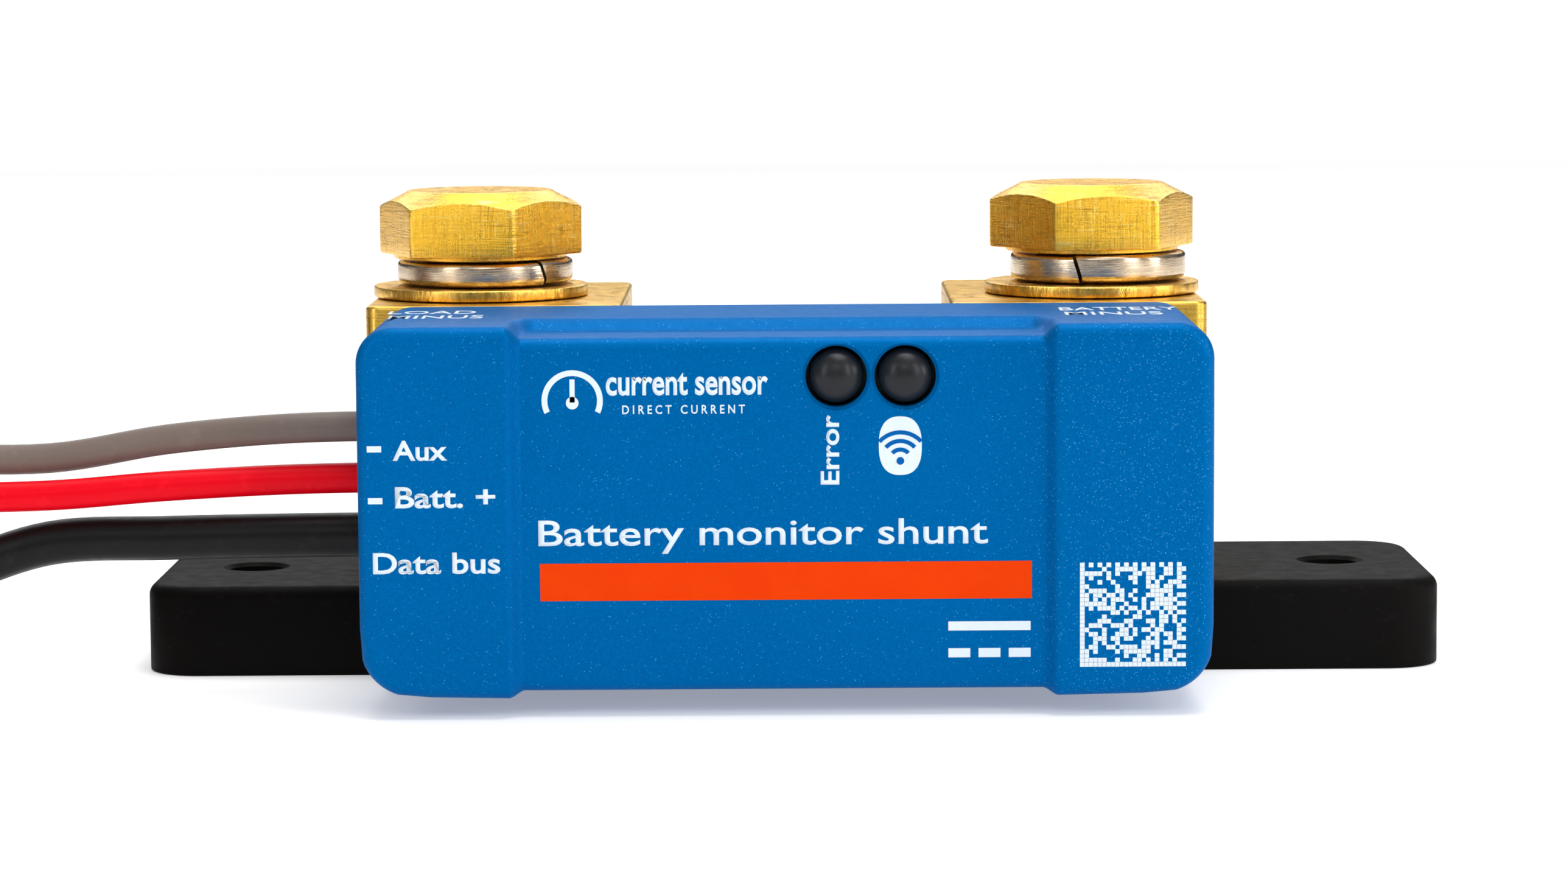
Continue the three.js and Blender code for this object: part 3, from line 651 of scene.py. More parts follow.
sense_cy = -16.1 + THIN_TURNS[-1]
aux_cy = -13.9 + THIN_TURNS[-1]
sense_tail = arc_points(PILE_X, sense_cy, [(-92, 17.85, 10.9), (-112, 18.8, 10.9), (-135, 20.3, 10.9), (-160, 20.9, 10.9), (-182, 21.0, 10.9)]) + [
    (-127.9, 14.6, 10.9), (-126.6, 21.2, 10.95), (-123.4, 26.2, 11.1), (-118.6, 29.2, 11.4), (-115.4, 29.8, 11.6), (-111.5, 29.8, 11.6)]
aux_tail = arc_points(PILE_X, aux_cy, [(-92, 17.8, 30.95), (-108, 17.8, 31.6), (-126, 17.4, 33.0), (-145, 16.7, 33.8), (-164, 16.0, 34.0)]) + [
    (-123.3, 4.3, 34.0), (-122.4, 8.3, 34.35), (-119.8, 11.6, 34.9), (-116.1, 12.5, 35.3), (-114.9, 12.5, 35.4), (-110.8, 12.5, 35.4)]
aux_cord, aux_len, _ = thin_lead("aux_cord", 24.5, 2.7, -13.9, 2.8, AUX_COIL_Z, False, aux_tail, "grey", "aux_lead")
sense_cord, sense_len, _ = thin_lead("battery_sense_cord", 19.9, 2.7, -16.1, 1.3, SENSE_COIL_Z, True, sense_tail, "red", "battery_sense_lead")

data_low, data_top = DATA_COIL_Z + 3.95 / 2, DATA_COIL_Z + 3.95 / 2 + DATA_STEP
Z = 14.8
data_lead = [(PORT_X + 1.5, PORT_Y, Z), (PORT_X - 0.5, PORT_Y, Z), (PORT_X - 8, PORT_Y, Z - 0.05), (PORT_X - 18, PORT_Y, Z - 0.2),
             (PORT_X - 28.5, PORT_Y, Z - 0.6), (PORT_X - 36.5, PORT_Y, Z - 3.2), (PORT_X - 44, PORT_Y, Z - 6.6),
             (PORT_X - 50, PORT_Y, data_top + 0.3), (-92.4, PORT_Y, data_top), (-101, PORT_Y, data_top)]
data_route = catmull(data_lead, 8) + winding(PILE_X, PORT_Y + DATA_TURNS[-1], DATA_TURNS, [data_top, data_low], per=48)
data_route += catmull([tuple(data_route[-1]), (-112, PORT_Y, data_low), (-118, PORT_Y, data_low), (-122.6, PORT_Y, data_low), (-126, PORT_Y, data_low + 0.1), (-130.2, PORT_Y, data_low + 0.4), (-132.0, PORT_Y, data_low + 0.5)], 6)[1:]
data_cord = cord_curve("data_cord", data_route, 3.95, "jacket", "data_lead")
data_len = length_of(data_route)
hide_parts("aux_wire", "aux_coil", "aux_wire_end")
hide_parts("battery_sense_wire", "battery_sense_coil", "battery_sense_wire_end")
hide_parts("data_cable", "data_coil", "data_cable_end")
print("cord lengths", round(aux_len, 3), round(sense_len, 3), round(data_len, 3))



# =====================================================================================================
# housing
# =====================================================================================================
XC, HX, ZC, HZ = SHIFT - 0.12, 37.05, 17.825, 16.375
FRONT, BACK, CORNER, ROUND = -27.0, -3.2, 3.2, 1.2
LIP_L, LIP_R = SHIFT - 24.25, SHIFT + 23.45
RECESS, RECESS_BACK, SLOPE = 1.1, -17.3, 1.3
LED_X, LED_Z = (SHIFT + 4.3, SHIFT + 10.26), 29.65


def soft_step(t):
    """A ramp from 0 to 1 whose two ends are slightly eased."""
    t = min(1.0, max(0.0, t))
    return 0.25 * t + 0.75 * t * t * (3 - 2 * t)


def recess_weight(x, y):
    r = 2.4
    cx, hx = (LIP_L + LIP_R) / 2, (LIP_R - LIP_L) / 2
    dx, dy = abs(x - cx) - (hx - r), (y - RECESS_BACK) * 0.55 + r
    # distance outside the rounded outline, negative inside; the outline is open towards the front
    d = min(max(dx, dy), 0.0) + math.hypot(max(dx, 0.0), max(dy, 0.0)) - r
    return soft_step(-d / SLOPE)


def stations(a, b, marks, coarse=4.0):
    """Sorted stations from a to b: each mark is (centre, reach, step)."""
    s = {round(a, 4), round(b, 4)}
    n = max(1, int(math.ceil((b - a) / coarse)))
    for i in range(n + 1):
        s.add(round(a + (b - a) * i / n, 4))
    for c, reach, step in marks:
        lo, hi = max(a, c - reach), min(b, c + reach)
        k = max(1, int(round((hi - lo) / step)))
        for i in range(k + 1):
            s.add(round(lo + (hi - lo) * i / k, 4))
    out = sorted(s)
    keep = [out[0]]
    for v in out[1:]:
        if v - keep[-1] > 0.035:
            keep.append(v)
    keep[-1] = out[-1]
    return keep


def rounded_distance(x, z, r):
    """Signed distance to the housing's outline with corners of radius r, and its gradient."""
    sx, sz = math.copysign(1, x - XC), math.copysign(1, z - ZC)
    qx, qz = abs(x - XC) - (HX - r), abs(z - ZC) - (HZ - r)
    if qx > 0 and qz > 0:
        h = math.hypot(qx, qz)
        return h - r, (sx * qx / h, sz * qz / h)
    return (qx - r, (sx, 0.0)) if qx > qz else (qz - r, (0.0, sz))


def cover_shape(x, y, z):
    low = min(1.0, max(0.0, (ZC - z) / HZ))
    if low > 0.5:
        # larger corners along the lower edge
        e = -rounded_distance(x, z, CORNER)[0]
        d, g = rounded_distance(x, z, 4.6)
        k = (d + e) * max(0.0, 1 - e / 4.0)
        x, z = x - g[0] * k, z - g[1] * k
    w = recess_weight(x, y)
    front = min(1.0, max(0.0, (-18.0 - y) / 7.0))
    draft = max(0.0, abs(x - XC) - 22.0) / 15.0
    lift = low * (0.25 + 0.28 * draft + 0.55 * w)
    drop = min(1.0, max(0.0, (z - ZC) / HZ)) * RECESS * w
    return (x, y + RECESS * w * front, z + lift - drop)


def make_cover():
    edge = [0, 0.06, 0.15, 0.28, 0.44, 0.62, 0.82, 1.0, 1.2, 1.6, 2.1, 2.65, 3.2]
    xs = stations(XC - HX + CORNER, XC + HX - CORNER, [(LIP_L + 1.2, 2.1, 0.14), (LIP_R - 1.2, 2.1, 0.14), (LIP_L + 3.6, 1.2, 0.3), (LIP_R - 3.6, 1.2, 0.3)], 3.0)
    xs = [XC - HX + e for e in edge[:-1]] + xs + [XC + HX - e for e in reversed(edge[:-1])]
    zs = stations(ZC - HZ + CORNER, ZC + HZ - CORNER, [], 3.0)
    zs = [ZC - HZ + e for e in edge[:-1]] + zs + [ZC + HZ - e for e in reversed(edge[:-1])]

    def mapped(x, z):
        ax, az = abs(x - XC) - (HX - CORNER), abs(z - ZC) - (HZ - CORNER)
        if ax > 0 and az > 0:
            a, b = ax / CORNER, az / CORNER
            a, b = a * math.sqrt(1 - b * b / 2), b * math.sqrt(1 - a * a / 2)
            x = XC + math.copysign(HX - CORNER + a * CORNER, x - XC)
            z = ZC + math.copysign(HZ - CORNER + b * CORNER, z - ZC)
        return x, z

    def inset(x, z):
        qx, qz = abs(x - XC) - (HX - CORNER), abs(z - ZC) - (HZ - CORNER)
        return -(math.hypot(max(qx, 0), max(qz, 0)) + min(max(qx, qz), 0.0) - CORNER)

    verts, faces, index = [], [], {}
    for i, x in enumerate(xs):
        for j, z in enumerate(zs):
            mx, mz = mapped(x, z)
            e = max(0.0, inset(mx, mz))
            y = FRONT + (ROUND - math.sqrt(max(0.0, ROUND * ROUND - (ROUND - e) ** 2)) if e < ROUND else 0.0)
            index[i, j] = len(verts)
            verts.append(cover_shape(mx, y, mz))
    for i in range(len(xs) - 1):
        for j in range(len(zs) - 1):
            faces.append((index[i, j], index[i + 1, j], index[i + 1, j + 1], index[i, j + 1]))
    nx, nz = len(xs), len(zs)
    loop = [(i, 0) for i in range(nx)] + [(nx - 1, j) for j in range(1, nz)] + [(i, nz - 1) for i in range(nx - 2, -1, -1)] + [(0, j) for j in range(nz - 2, 0, -1)]
    flat = [mapped(xs[i], zs[j]) for i, j in loop]
    ys = stations(FRONT + ROUND, BACK - 0.3, [(RECESS_BACK - 2.2, 3.6, 0.2)], 2.2)
    prev = [index[k] for k in loop]
    for y in ys[1:]:
        row = []
        for x, z in flat:
            row.append(len(verts))
            verts.append(cover_shape(x, y, z))
        for a in range(len(row)):
            b = (a + 1) % len(row)
            faces.append((prev[a], prev[b], row[b], row[a]))
        prev = row
    # rounded rim, then the inside
    wall_x, wall_z = (HX - 1.8) / HX, (HZ - 2.9) / HZ
    for t in (0.35, 0.7, 1.0):
        d = 0.3 * (1 - math.cos(t * math.pi / 2))
        row = []
        for x, z in flat:
            row.append(len(verts))
            px, _, pz = cover_shape(x, BACK, z)
            verts.append((XC + (px - XC) * (HX - d) / HX, BACK - 0.3 + 0.3 * math.sin(t * math.pi / 2), ZC + (pz - ZC) * (HZ - d) / HZ))
        for a in range(len(row)):
            b = (a + 1) % len(row)
            faces.append((prev[a], prev[b], row[b], row[a]))
        prev = row
    for y in (BACK, -10, -20, -24.1):
        row = []
        for x, z in flat:
            row.append(len(verts))
            verts.append((XC + (x - XC) * wall_x, y, ZC + (z - ZC) * wall_z))
        for a in range(len(row)):
            b = (a + 1) % len(row)
            faces.append((prev[a], prev[b], row[b], row[a]))
        prev = row
    faces.append(tuple(prev))
    shell = raw("housing_raw", verts, faces)

    cuts = []
    for x in LED_X:
        prof = [(0, -30), (2.65 + 4.2, -30), (2.65, -26.0), (2.65, -20), (0, -20)]
        # a small countersink at the panel's surface, y -25.9
        prof = [(0, 30), (3.6, 30), (3.0, 25.95), (2.65, 25.6), (2.65, 20), (0, 20)]
        v, f = lathe(prof, 64, x, 0, LED_Z, "Y")
        cuts.append(raw("led_cut", v, f))
    for z in (24.5, 19.9):
        v, f = lathe([(0, 39), (2.3, 39), (2.0, 37.85), (1.7, 37.45), (1.7, 33), (0, 33)], 48, 0, PORT_Y, z, "X")
        cuts.append(raw("port_cut", [(p[0], p[1], p[2]) for p in v], f))
    v, f = slab(-4.4, 4.4, -3.1, 3.1, 0, 6, 0.5, 0.05, 0.05)
    cuts.append(raw("data_cut", [(PORT_X - 1 + p[2], PORT_Y + p[0], 14.8 + p[1]) for p in v], f))
    me = take(carve(shell, cuts))
    obj = settle("housing_cover", me, "blue", "root", "front_cover", "blue_housing", smooth=28)
    return obj


cover = make_cover()

# the back plate: a thin rounded slab where the back plate sits, with a row of thin upright ribs
verts, faces = slab(SHIFT - 35.15, SHIFT + 35.15, 4.65, 31.0, 0, 1.6, 1.3, 0.25, 0.25, 6)
plate_verts = [(x, -3.5 - z, y) for x, y, z in verts]
ribs = []
for k in range(-5, 6):
    ribs.append(block_box(SHIFT + k * 6.1 - 0.45, SHIFT + k * 6.1 + 0.45, -3.55, -3.28, 7.2, 28.4))
piece("housing_back", *merged((plate_verts, faces), *ribs), "plate", "root", "back_plate", "black_plate", smooth=30)


# lenses: domed, on a short cylinder
for name, x in (("error_led_lens", LED_X[0]), ("wireless_led_lens", LED_X[1])):
    prof = [(0, 20.9), (2.35, 20.9), (2.35, 24.8)]
    for k in range(1, 17):
        a = math.pi / 2 * k / 16
        prof.append((2.35 * math.cos(a) if k < 16 else 0.0, 24.8 + 1.95 * math.sin(a)))
    v, f = lathe(prof, 72, x, 0, LED_Z, "Y")
    piece(name + "_fine", v, f, "lens", "root", name, "smoked_lens", smooth=50)


# =====================================================================================================
# print on the housing: generic words and marks only
# =====================================================================================================
PANEL_Y, END_Y, SHELF_Z = FRONT + RECESS, FRONT, 34.2
INK = 0.03


def flat_print(name, verts, faces, look="ink"):
    me = bpy.data.meshes.new(name)
    me.from_pydata([(x * MM, y * MM, z * MM) for x, y, z in verts], [], faces)
    bm = bmesh.new()
    bm.from_mesh(me)
    bmesh.ops.triangulate(bm, faces=bm.faces)
    bmesh.ops.recalc_face_normals(bm, faces=bm.faces)
    bm.to_mesh(me)
    bm.free()
    obj = bpy.data.objects.new(name, me)
    scene.collection.objects.link(obj)
    me.materials.append(M[look])
    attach(obj, "root")
    return obj


def extruded(polys, put, depth=INK):
    """Closed outlines in the plane given a little thickness; put maps (u, v, w) to the object."""
    V, F = [], []
    for poly in polys:
        k, n = len(V), len(poly)
        V += [put(u, v, 0.0) for u, v in poly] + [put(u, v, depth) for u, v in poly]
        F.append(tuple(range(k, k + n)))
        F.append(tuple(range(k + n, k + 2 * n))[::-1])
        for i in range(n):
            j = (i + 1) % n
            F.append((k + i, k + j, k + n + j, k + n + i))
    return V, F


def on_panel(u, v, w):
    return (u, PANEL_Y + 0.004 - w, v)


def on_end(u, v, w):
    return (u, END_Y + 0.004 - w, v)


def lettering(name, text, box, put, turned=False, weight=0.0, look="ink", spacing=1.0):
    """Text fitted to (u0, v0, u1, v1), read along u, or upwards when turned."""
    cu = bpy.data.curves.new(name, "FONT")
    cu.body = text
    cu.size = 10
    cu.offset = weight
    cu.space_character = spacing
    cu.resolution_u = 4
    tmp = bpy.data.objects.new(name, cu)
    scene.collection.objects.link(tmp)
    dg = bpy.context.evaluated_depsgraph_get()
    me = bpy.data.meshes.new_from_object(tmp.evaluated_get(dg))
    bpy.data.objects.remove(tmp)
    bpy.data.curves.remove(cu)
    bm = bmesh.new()
    bm.from_mesh(me)
    bmesh.ops.remove_doubles(bm, verts=bm.verts, dist=1e-4)
    r = bmesh.ops.extrude_face_region(bm, geom=bm.faces[:])
    top = {v for v in r["geom"] if isinstance(v, bmesh.types.BMVert)}
    us, vs = [v.co.x for v in bm.verts], [v.co.y for v in bm.verts]
    a, b, c, d = min(us), max(us), min(vs), max(vs)
    u0, v0, u1, v1 = box
    for v in bm.verts:
        s, t = (v.co.x - a) / (b - a), (v.co.y - c) / (d - c)
        w = INK if v in top else 0.0
        if turned:
            p = put(u1 - t * (u1 - u0), v0 + s * (v1 - v0), w)
        else:
            p = put(u0 + s * (u1 - u0), v0 + t * (v1 - v0), w)
        v.co = Vector(p) * MM
    bmesh.ops.recalc_face_normals(bm, faces=bm.faces)
    bm.to_mesh(me)
    bm.free()
    me.name = name
    me.materials.clear()
    me.materials.append(M[look])
    obj = bpy.data.objects.new(name, me)
    scene.collection.objects.link(obj)
    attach(obj, "root")
    return obj


def rect(u0, v0, u1, v1):
    return [(u0, v0), (u1, v0), (u1, v1), (u0, v1)]


def arc_band(cx, cy, r0, r1, a0, a1, n=14):
    out = [(cx + r1 * math.cos(math.radians(a0 + (a1 - a0) * i / n)), cy + r1 * math.sin(math.radians(a0 + (a1 - a0) * i / n))) for i in range(n + 1)]
    out += [(cx + r0 * math.cos(math.radians(a1 + (a0 - a1) * i / n)), cy + r0 * math.sin(math.radians(a1 + (a0 - a1) * i / n))) for i in range(n + 1)]
    return out


F = SHIFT
lettering("print_aux", "Aux", (-33.99 + F, 22.68, -29.28 + F, 24.45), on_end, weight=0.22)
lettering("print_batt", "Batt. +", (-33.84 + F, 18.56, -25.18 + F, 20.43), on_end, weight=0.22)
lettering("print_data", "Data bus", (-35.83 + F, 12.83, -24.83 + F, 14.71), on_end, weight=0.20)
flat_print("print_dashes", *extruded([rect(-36.20 + F, 23.45, -34.95 + F, 23.99), rect(-36.17 + F, 18.95, -34.92 + F, 19.49)], on_end))
lettering("print_title", "Battery monitor shunt", (-21.57 + F, 14.33, 17.35 + F, 17.30), on_panel, weight=0.10)
lettering("print_heading", "current sensor", (-15.6 + F, 28.10, -1.6 + F, 30.10), on_panel, weight=0.24)
lettering("print_subheading", "D I R E C T   C U R R E N T", (-14.2 + F, 26.50, -3.6 + F, 27.28), on_panel, weight=0.16)
# a plain round gauge mark beside the heading
gauge = [arc_band(-18.5 + F, 27.7, 2.15, 2.65, -25, 205, 26), rect(-18.72 + F, 27.55, -18.28 + F, 29.55)]
gauge.append([(-18.5 + F + 0.55 * math.cos(math.radians(a)), 27.5 + 0.55 * math.sin(math.radians(a))) for a in range(0, 360, 20)])
flat_print("print_gauge", *extruded(gauge, on_panel))
flat_print("print_stripe", *extruded([rect(-21.46 + F, 10.25, 21.15 + F, 13.52)], on_panel), "orange")
lettering("print_error", "Error", (2.90 + F, 20.27, 4.54 + F, 26.32), on_panel, turned=True, weight=0.22)
# wireless status: an upright oval with three arcs
oval = [(9.8 + F + 1.86 * math.copysign(abs(math.cos(t)) ** 0.8, math.cos(t)), 23.62 + 2.55 * math.copysign(abs(math.sin(t)) ** 0.8, math.sin(t)))
        for t in [2 * math.pi * i / 48 for i in range(48)]]
flat_print("print_wireless", *extruded([oval], on_panel))
arcs = [arc_band(9.8 + F, 22.35, r, r + 0.36, 42, 138, 10) for r in (0.75, 1.5, 2.25)]
dot = [[(9.8 + F + 0.34 * math.cos(math.radians(a)), 22.3 + 0.34 * math.sin(math.radians(a))) for a in range(0, 360, 24)]]
flat_print("print_wireless_arcs", *extruded(arcs + dot, lambda u, v, w: on_panel(u, v, w + 0.02)), "ink_blue")
# direct-current symbol and a box for it
dc = [rect(13.9 + F, 7.45, 21.04 + F, 8.25), rect(13.9 + F, 5.1, 15.8 + F, 5.9), rect(16.52 + F, 5.1, 18.42 + F, 5.9), rect(19.14 + F, 5.1, 21.04 + F, 5.9)]
flat_print("print_direct_current", *extruded(dc, on_panel))


def code_block():
    rnd = random.Random(41)
    n, u0, v0, u1, v1 = 24, 25.26 + F, 4.38, 34.40 + F, 13.45
    cells = []
    for i in range(n):
        for j in range(n):
            edge = i == 0 or j == 0 or (i == n - 1 and j % 2 == 0) or (j == n - 1 and i % 2 == 0)
            inner = 0 < i < n - 1 and 0 < j < n - 1 and rnd.random() < 0.5
            if edge or inner:
                a, b = u0 + (u1 - u0) * i / n, v0 + (v1 - v0) * j / n
                e = 0.012
                cells.append(rect(a - e, b - e, a + (u1 - u0) / n + e, b + (v1 - v0) / n + e))
    return cells


flat_print("print_code", *extruded(code_block(), on_end))


def on_top(u, v, w):
    return (u, v, SHELF_Z - 0.004 + w)


lettering("print_load_a", "LOAD", (-35.6 + F, -12.0, -27.8 + F, -8.7), on_top, weight=0.04)
lettering("print_load_b", "MINUS", (-35.2 + F, -17.2, -26.8 + F, -13.9), on_top, weight=0.04)
lettering("print_battery_a", "BATTERY", (24.4 + F, -12.7, 35.0 + F, -9.4), on_top, weight=0.04)
lettering("print_battery_b", "MINUS", (24.6 + F, -17.9, 33.2 + F, -14.6), on_top, weight=0.04)


# =====================================================================================================
# base
# =====================================================================================================
def make_base():
    v, f = slab(-60, 60, -2, 27, 0, 8.3, 5, 1.2, 0.25, 14, 7)
    body = raw("base_raw", v, f)
    cuts = []
    for s in (-1, 1):
        cv, cf = lathe([(0, -1), (2.75, -1), (2.75, 7.95), (3.15, 8.32), (4.0, 9.2), (0, 9.2)], 72, s * 51.1, 12.1, 0)
        cuts.append(raw("hole", cv, cf))
        cv, cf = lathe([(0, -1), (5.5, -1), (5.5, 5.0), (3.3, 5.0), (3.3, 9.5), (0, 9.5)], 48, SHIFT + s * 22, 20.5, 0)
        cuts.append(raw("hole", cv, cf))
    # shallow pockets beneath, as a moulding has
    for x0 in (-45.0, -34.0, -13.0, -2.0 + 0.9, 9.5, 32.0):
        cv, cf = slab(x0 + 0.6, x0 + 9.4, 1.4, 10.4, -1, 2.2, 1.0, 0.3, 0.2, 4)
        cuts.append(raw("pocket", cv, cf))
    me = take(carve(body, cuts))
    return settle("base_moulding", me, "base", "root", "base", "base_moulding", smooth=30)


make_base()


# =====================================================================================================
# terminal blocks, strips, screws
# =====================================================================================================
STRIP_Y = (1.2, 8.2, 15.2, 22.2)


def make_block(name, s):
    x0, x1 = (SHIFT - 38.5, SHIFT - 15.1) if s < 0 else (SHIFT + 15.1, SHIFT + 38.5)
    v, f = slab(x0, x1, -2.9, 26.9, 8.4, 34.2, 1.2, 0.38, 0.38, 8, 5)
    body = raw(name + "_raw", v, f)
    inner = SHIFT + s * 15.1
    cuts = []
    for y in STRIP_Y:
        a, b = sorted((inner - 1.5 * s, inner + 3.3 * s))
        cv, cf = block_box(a, b, y - 1.0, y + 1.0, 10.6, 31.8)
        cuts.append(raw("slot", cv, cf))
    cv, cf = lathe([(0, 13), (5.0, 13.6), (5.35, 14.2), (5.35, 33.5), (6.1, 34.25), (7, 35.2), (0, 35.2)], 72, SHIFT + s * 28.7, 9.6, 0)
    cuts.append(raw("stud_hole", cv, cf))
    cv, cf = lathe([(0, 7), (2.95, 7), (2.95, 19.3), (0, 19.3)], 36, SHIFT + s * 22, 20.5, 0)
    cuts.append(raw("screw_hole", cv, cf))
    cv, cf = lathe([(0, -0.1), (2.0, -0.1), (2.0, 4.2), (0, 4.2)], 36, SHIFT + s * 21.6, 0, 14, "Y")
    cuts.append(raw("sense_hole", cv, cf))
    me = take(carve(body, cuts))
    return settle(name + "_fine", me, "block", "root", name, "brass_block", smooth=28)


make_block("load_block", -1)
make_block("battery_block", 1)

rnd = random.Random(5)
for k, y in enumerate(STRIP_Y):
    # the strip, its edges slightly eased
    v, f = slab(SHIFT - 18.1, SHIFT + 18.1, y - 0.8, y + 0.8, 10.9, 31.5, 0.25, 0.18, 0.18, 4, 3)
    strip = piece(f"manganin_strip_{k + 1}_fine", v, f, "manganin", "root", f"manganin_strip_{k + 1}", "manganin", smooth=40)
    # solder fillets where it enters each block
    for s in (-1, 1):
        face = SHIFT + s * 15.1
        V, Fc = [], []
        n, m = 26, 7
        for side in (-1, 1):
            k0 = len(V)
            for i in range(n + 1):
                z = 10.95 + (31.7 - 10.95) * i / n
                h = 0.75 + 0.22 * math.sin(i * 1.3 + k) + 0.18 * rnd.random()
                w = 0.62 + 0.18 * math.sin(i * 0.9 + 2 * k) + 0.12 * rnd.random()
                for j in range(m + 1):
                    t = j / m
                    a = math.pi / 2 * t
                    # concave from the strip's face to the block's face
                    V.append((face - s * h * (1 - math.sin(a)) + s * 0.05, y + side * (0.78 + w * (1 - math.cos(a))), z))
                V.append((face + s * 0.25, y + side * 0.78, z))
            cols = m + 2
            for i in range(n):
                for j in range(cols):
                    a, b = k0 + i * cols + j, k0 + i * cols + (j + 1) % cols
                    Fc.append((a, b, b + cols, a + cols))
            Fc.append(tuple(range(k0, k0 + cols)))
            Fc.append(tuple(range(k0 + n * cols, k0 + (n + 1) * cols)))
        piece(f"solder_{k + 1}_{'left' if s < 0 else 'right'}", V, Fc, "solder", "root", smooth=50)


def socket_screw(name, x, y, head_r, head_z0, head_z1, shank_r, tip, node):
    prof = [(0, head_z0 + 2.6), (2.3, head_z0 + 2.6), (2.45, head_z0 + 2.4), (2.45, head_z0 + 0.15), (2.7, head_z0), (head_r - 0.35, head_z0), (head_r, head_z0 + 0.35),
            (head_r, head_z1 - 0.15), (head_r - 0.15, head_z1), (shank_r + 0.2, head_z1), (shank_r, head_z1 + 0.3)]
    z, out = head_z1 + 0.6, []
    while z < tip - 0.8:
        out += [(shank_r - 0.32, z), (shank_r, z + 0.35)]
        z += 0.8
    prof += out + [(shank_r - 0.8, tip), (0, tip)]
    v, f = lathe(prof, 48, x, y, 0)
    piece(name, v, f, "steel", "root", node, "steel_screw", smooth=32)


socket_screw("load_screw_fine", SHIFT - 22, 20.5, 5.0, 0.9, 4.7, 2.6, 19.0, "load_block_screw")
socket_screw("battery_screw_fine", SHIFT + 22, 20.5, 5.0, 0.9, 4.7, 2.6, 19.0, "battery_block_screw")


# =====================================================================================================
# bolts and washers
# =====================================================================================================
SEAT, BLOCK_TOP = 0.1, 34.2
LOAD = dict(name="load", x=SHIFT - 28.7, y=9.6, spring=2.35, hex=-7.9, split=-45.3, play=(0.42, 0.0), seed=3)
BATTERY = dict(name="battery", x=SHIFT + 28.7, y=9.6, spring=2.7, hex=6.1, split=-107.1, play=(0.6, -0.05), seed=8)


def plain_washer(t):
    z0, z1 = BLOCK_TOP + SEAT, BLOCK_TOP + SEAT + 1.05
    rnd = random.Random(t["seed"])
    n = 160
    R = 10.05
    prof = [(5.4, z0 + 0.1), (5.5, z0), (R - 0.5, z0), (R - 0.12, z0 + 0.02), (R - 0.04, z0 + 0.08), (R, z0 + 0.2)]
    prof += [(R, z0 + 0.5), (R, z1 - 0.2), (R - 0.03, z1 - 0.08), (R - 0.1, z1 - 0.02), (R - 0.25, z1), (8.0, z1), (5.6, z1), (5.4, z1 - 0.12)]
    prof.append(prof[0])
    v, f = lathe(prof, n, t["x"], t["y"], 0)
    # stamped rim: slightly uneven
    out = []
    for x, y, z in v:
        dx, dy = x - t["x"], y - t["y"]
        r, a = math.hypot(dx, dy), math.atan2(dy, dx)
        if r > 9.5:
            k = 1 - 0.002 * (0.5 + 0.5 * math.sin(9 * a + t["seed"])) - 0.0016 * (0.5 + 0.5 * math.sin(31 * a + 3 * z))
            dx, dy = dx * k, dy * k
        out.append((t["x"] + dx, t["y"] + dy, z))
    piece(t["name"] + "_plain_washer_fine", out, f, "washer", t["name"] + "_washers", t["name"] + "_plain_washer", "brass_hardware", smooth=30)


def spring_washer(t):
    z0 = BLOCK_TOP + SEAT + 1.05 + SEAT
    h = t["spring"]
    r0, r1, rise = 5.62, 8.22, 0.12
    c = 0.5
    sec = []
    def corner(cx, cz, a0, r):
        for i in range(6):
            a = math.radians(a0 + 90 * i / 5)
            sec.append((cx + r * math.cos(a), cz + r * math.sin(a)))
    corner(r1 - 0.7, 0.7, -90, 0.7)
    corner(r1 - c, h - rise - c, 0, c)
    corner(r0 + 0.2, h - rise - 0.2, 90, 0.2)
    corner(r0 + 0.2, 0.2, 180, 0.2)
    n = 150
    a0 = math.radians(t["split"])
    gap = 0.16
    loops = []
    for i in range(n + 1):
        s = i / n
        loop = []
        for r, z in sec:
            # the ends are cut on a slant, and stand a little apart
            lean = -(z / h - 0.5) * 0.55 + 0.10 * math.sin(z / h * math.pi * 1.6)
            lo = a0 + (gap + lean) / r
            hi = a0 + 2 * math.pi + (-gap + lean) / r
            a = lo + (hi - lo) * s
            zz = z0 + z + rise * (1 - s)
            loop.append((t["x"] + t["play"][0] + r * math.cos(a), t["y"] + t["play"][1] + r * math.sin(a), zz))
        loops.append(loop)
    v, f = rings(loops)
    piece(t["name"] + "_spring_washer_fine", v, f, "spring", t["name"] + "_washers", t["name"] + "_spring_washer", "spring_bronze", smooth=32)


def hex_radius(a, apothem, corner):
    """Radius of a hexagon with its corners rounded by the given radius; a corner lies at angle 0."""
    a = (a + math.pi / 6) % (math.pi / 3) - math.pi / 6  # angle from the nearest corner
    R = apothem / math.cos(math.pi / 6)
    cx = R - corner / math.cos(math.pi / 6)
    ang = abs(a)
    # tangent point of the round is at 30 degrees from the corner's direction, seen from its centre
    tx, ty = cx + corner * math.cos(math.pi / 6), corner * math.sin(math.pi / 6)
    if ang > math.atan2(ty, tx):
        return apothem / math.cos(math.pi / 6 - ang)
    return cx * math.cos(ang) + math.sqrt(max(0.0, corner ** 2 - (cx * math.sin(ang)) ** 2))


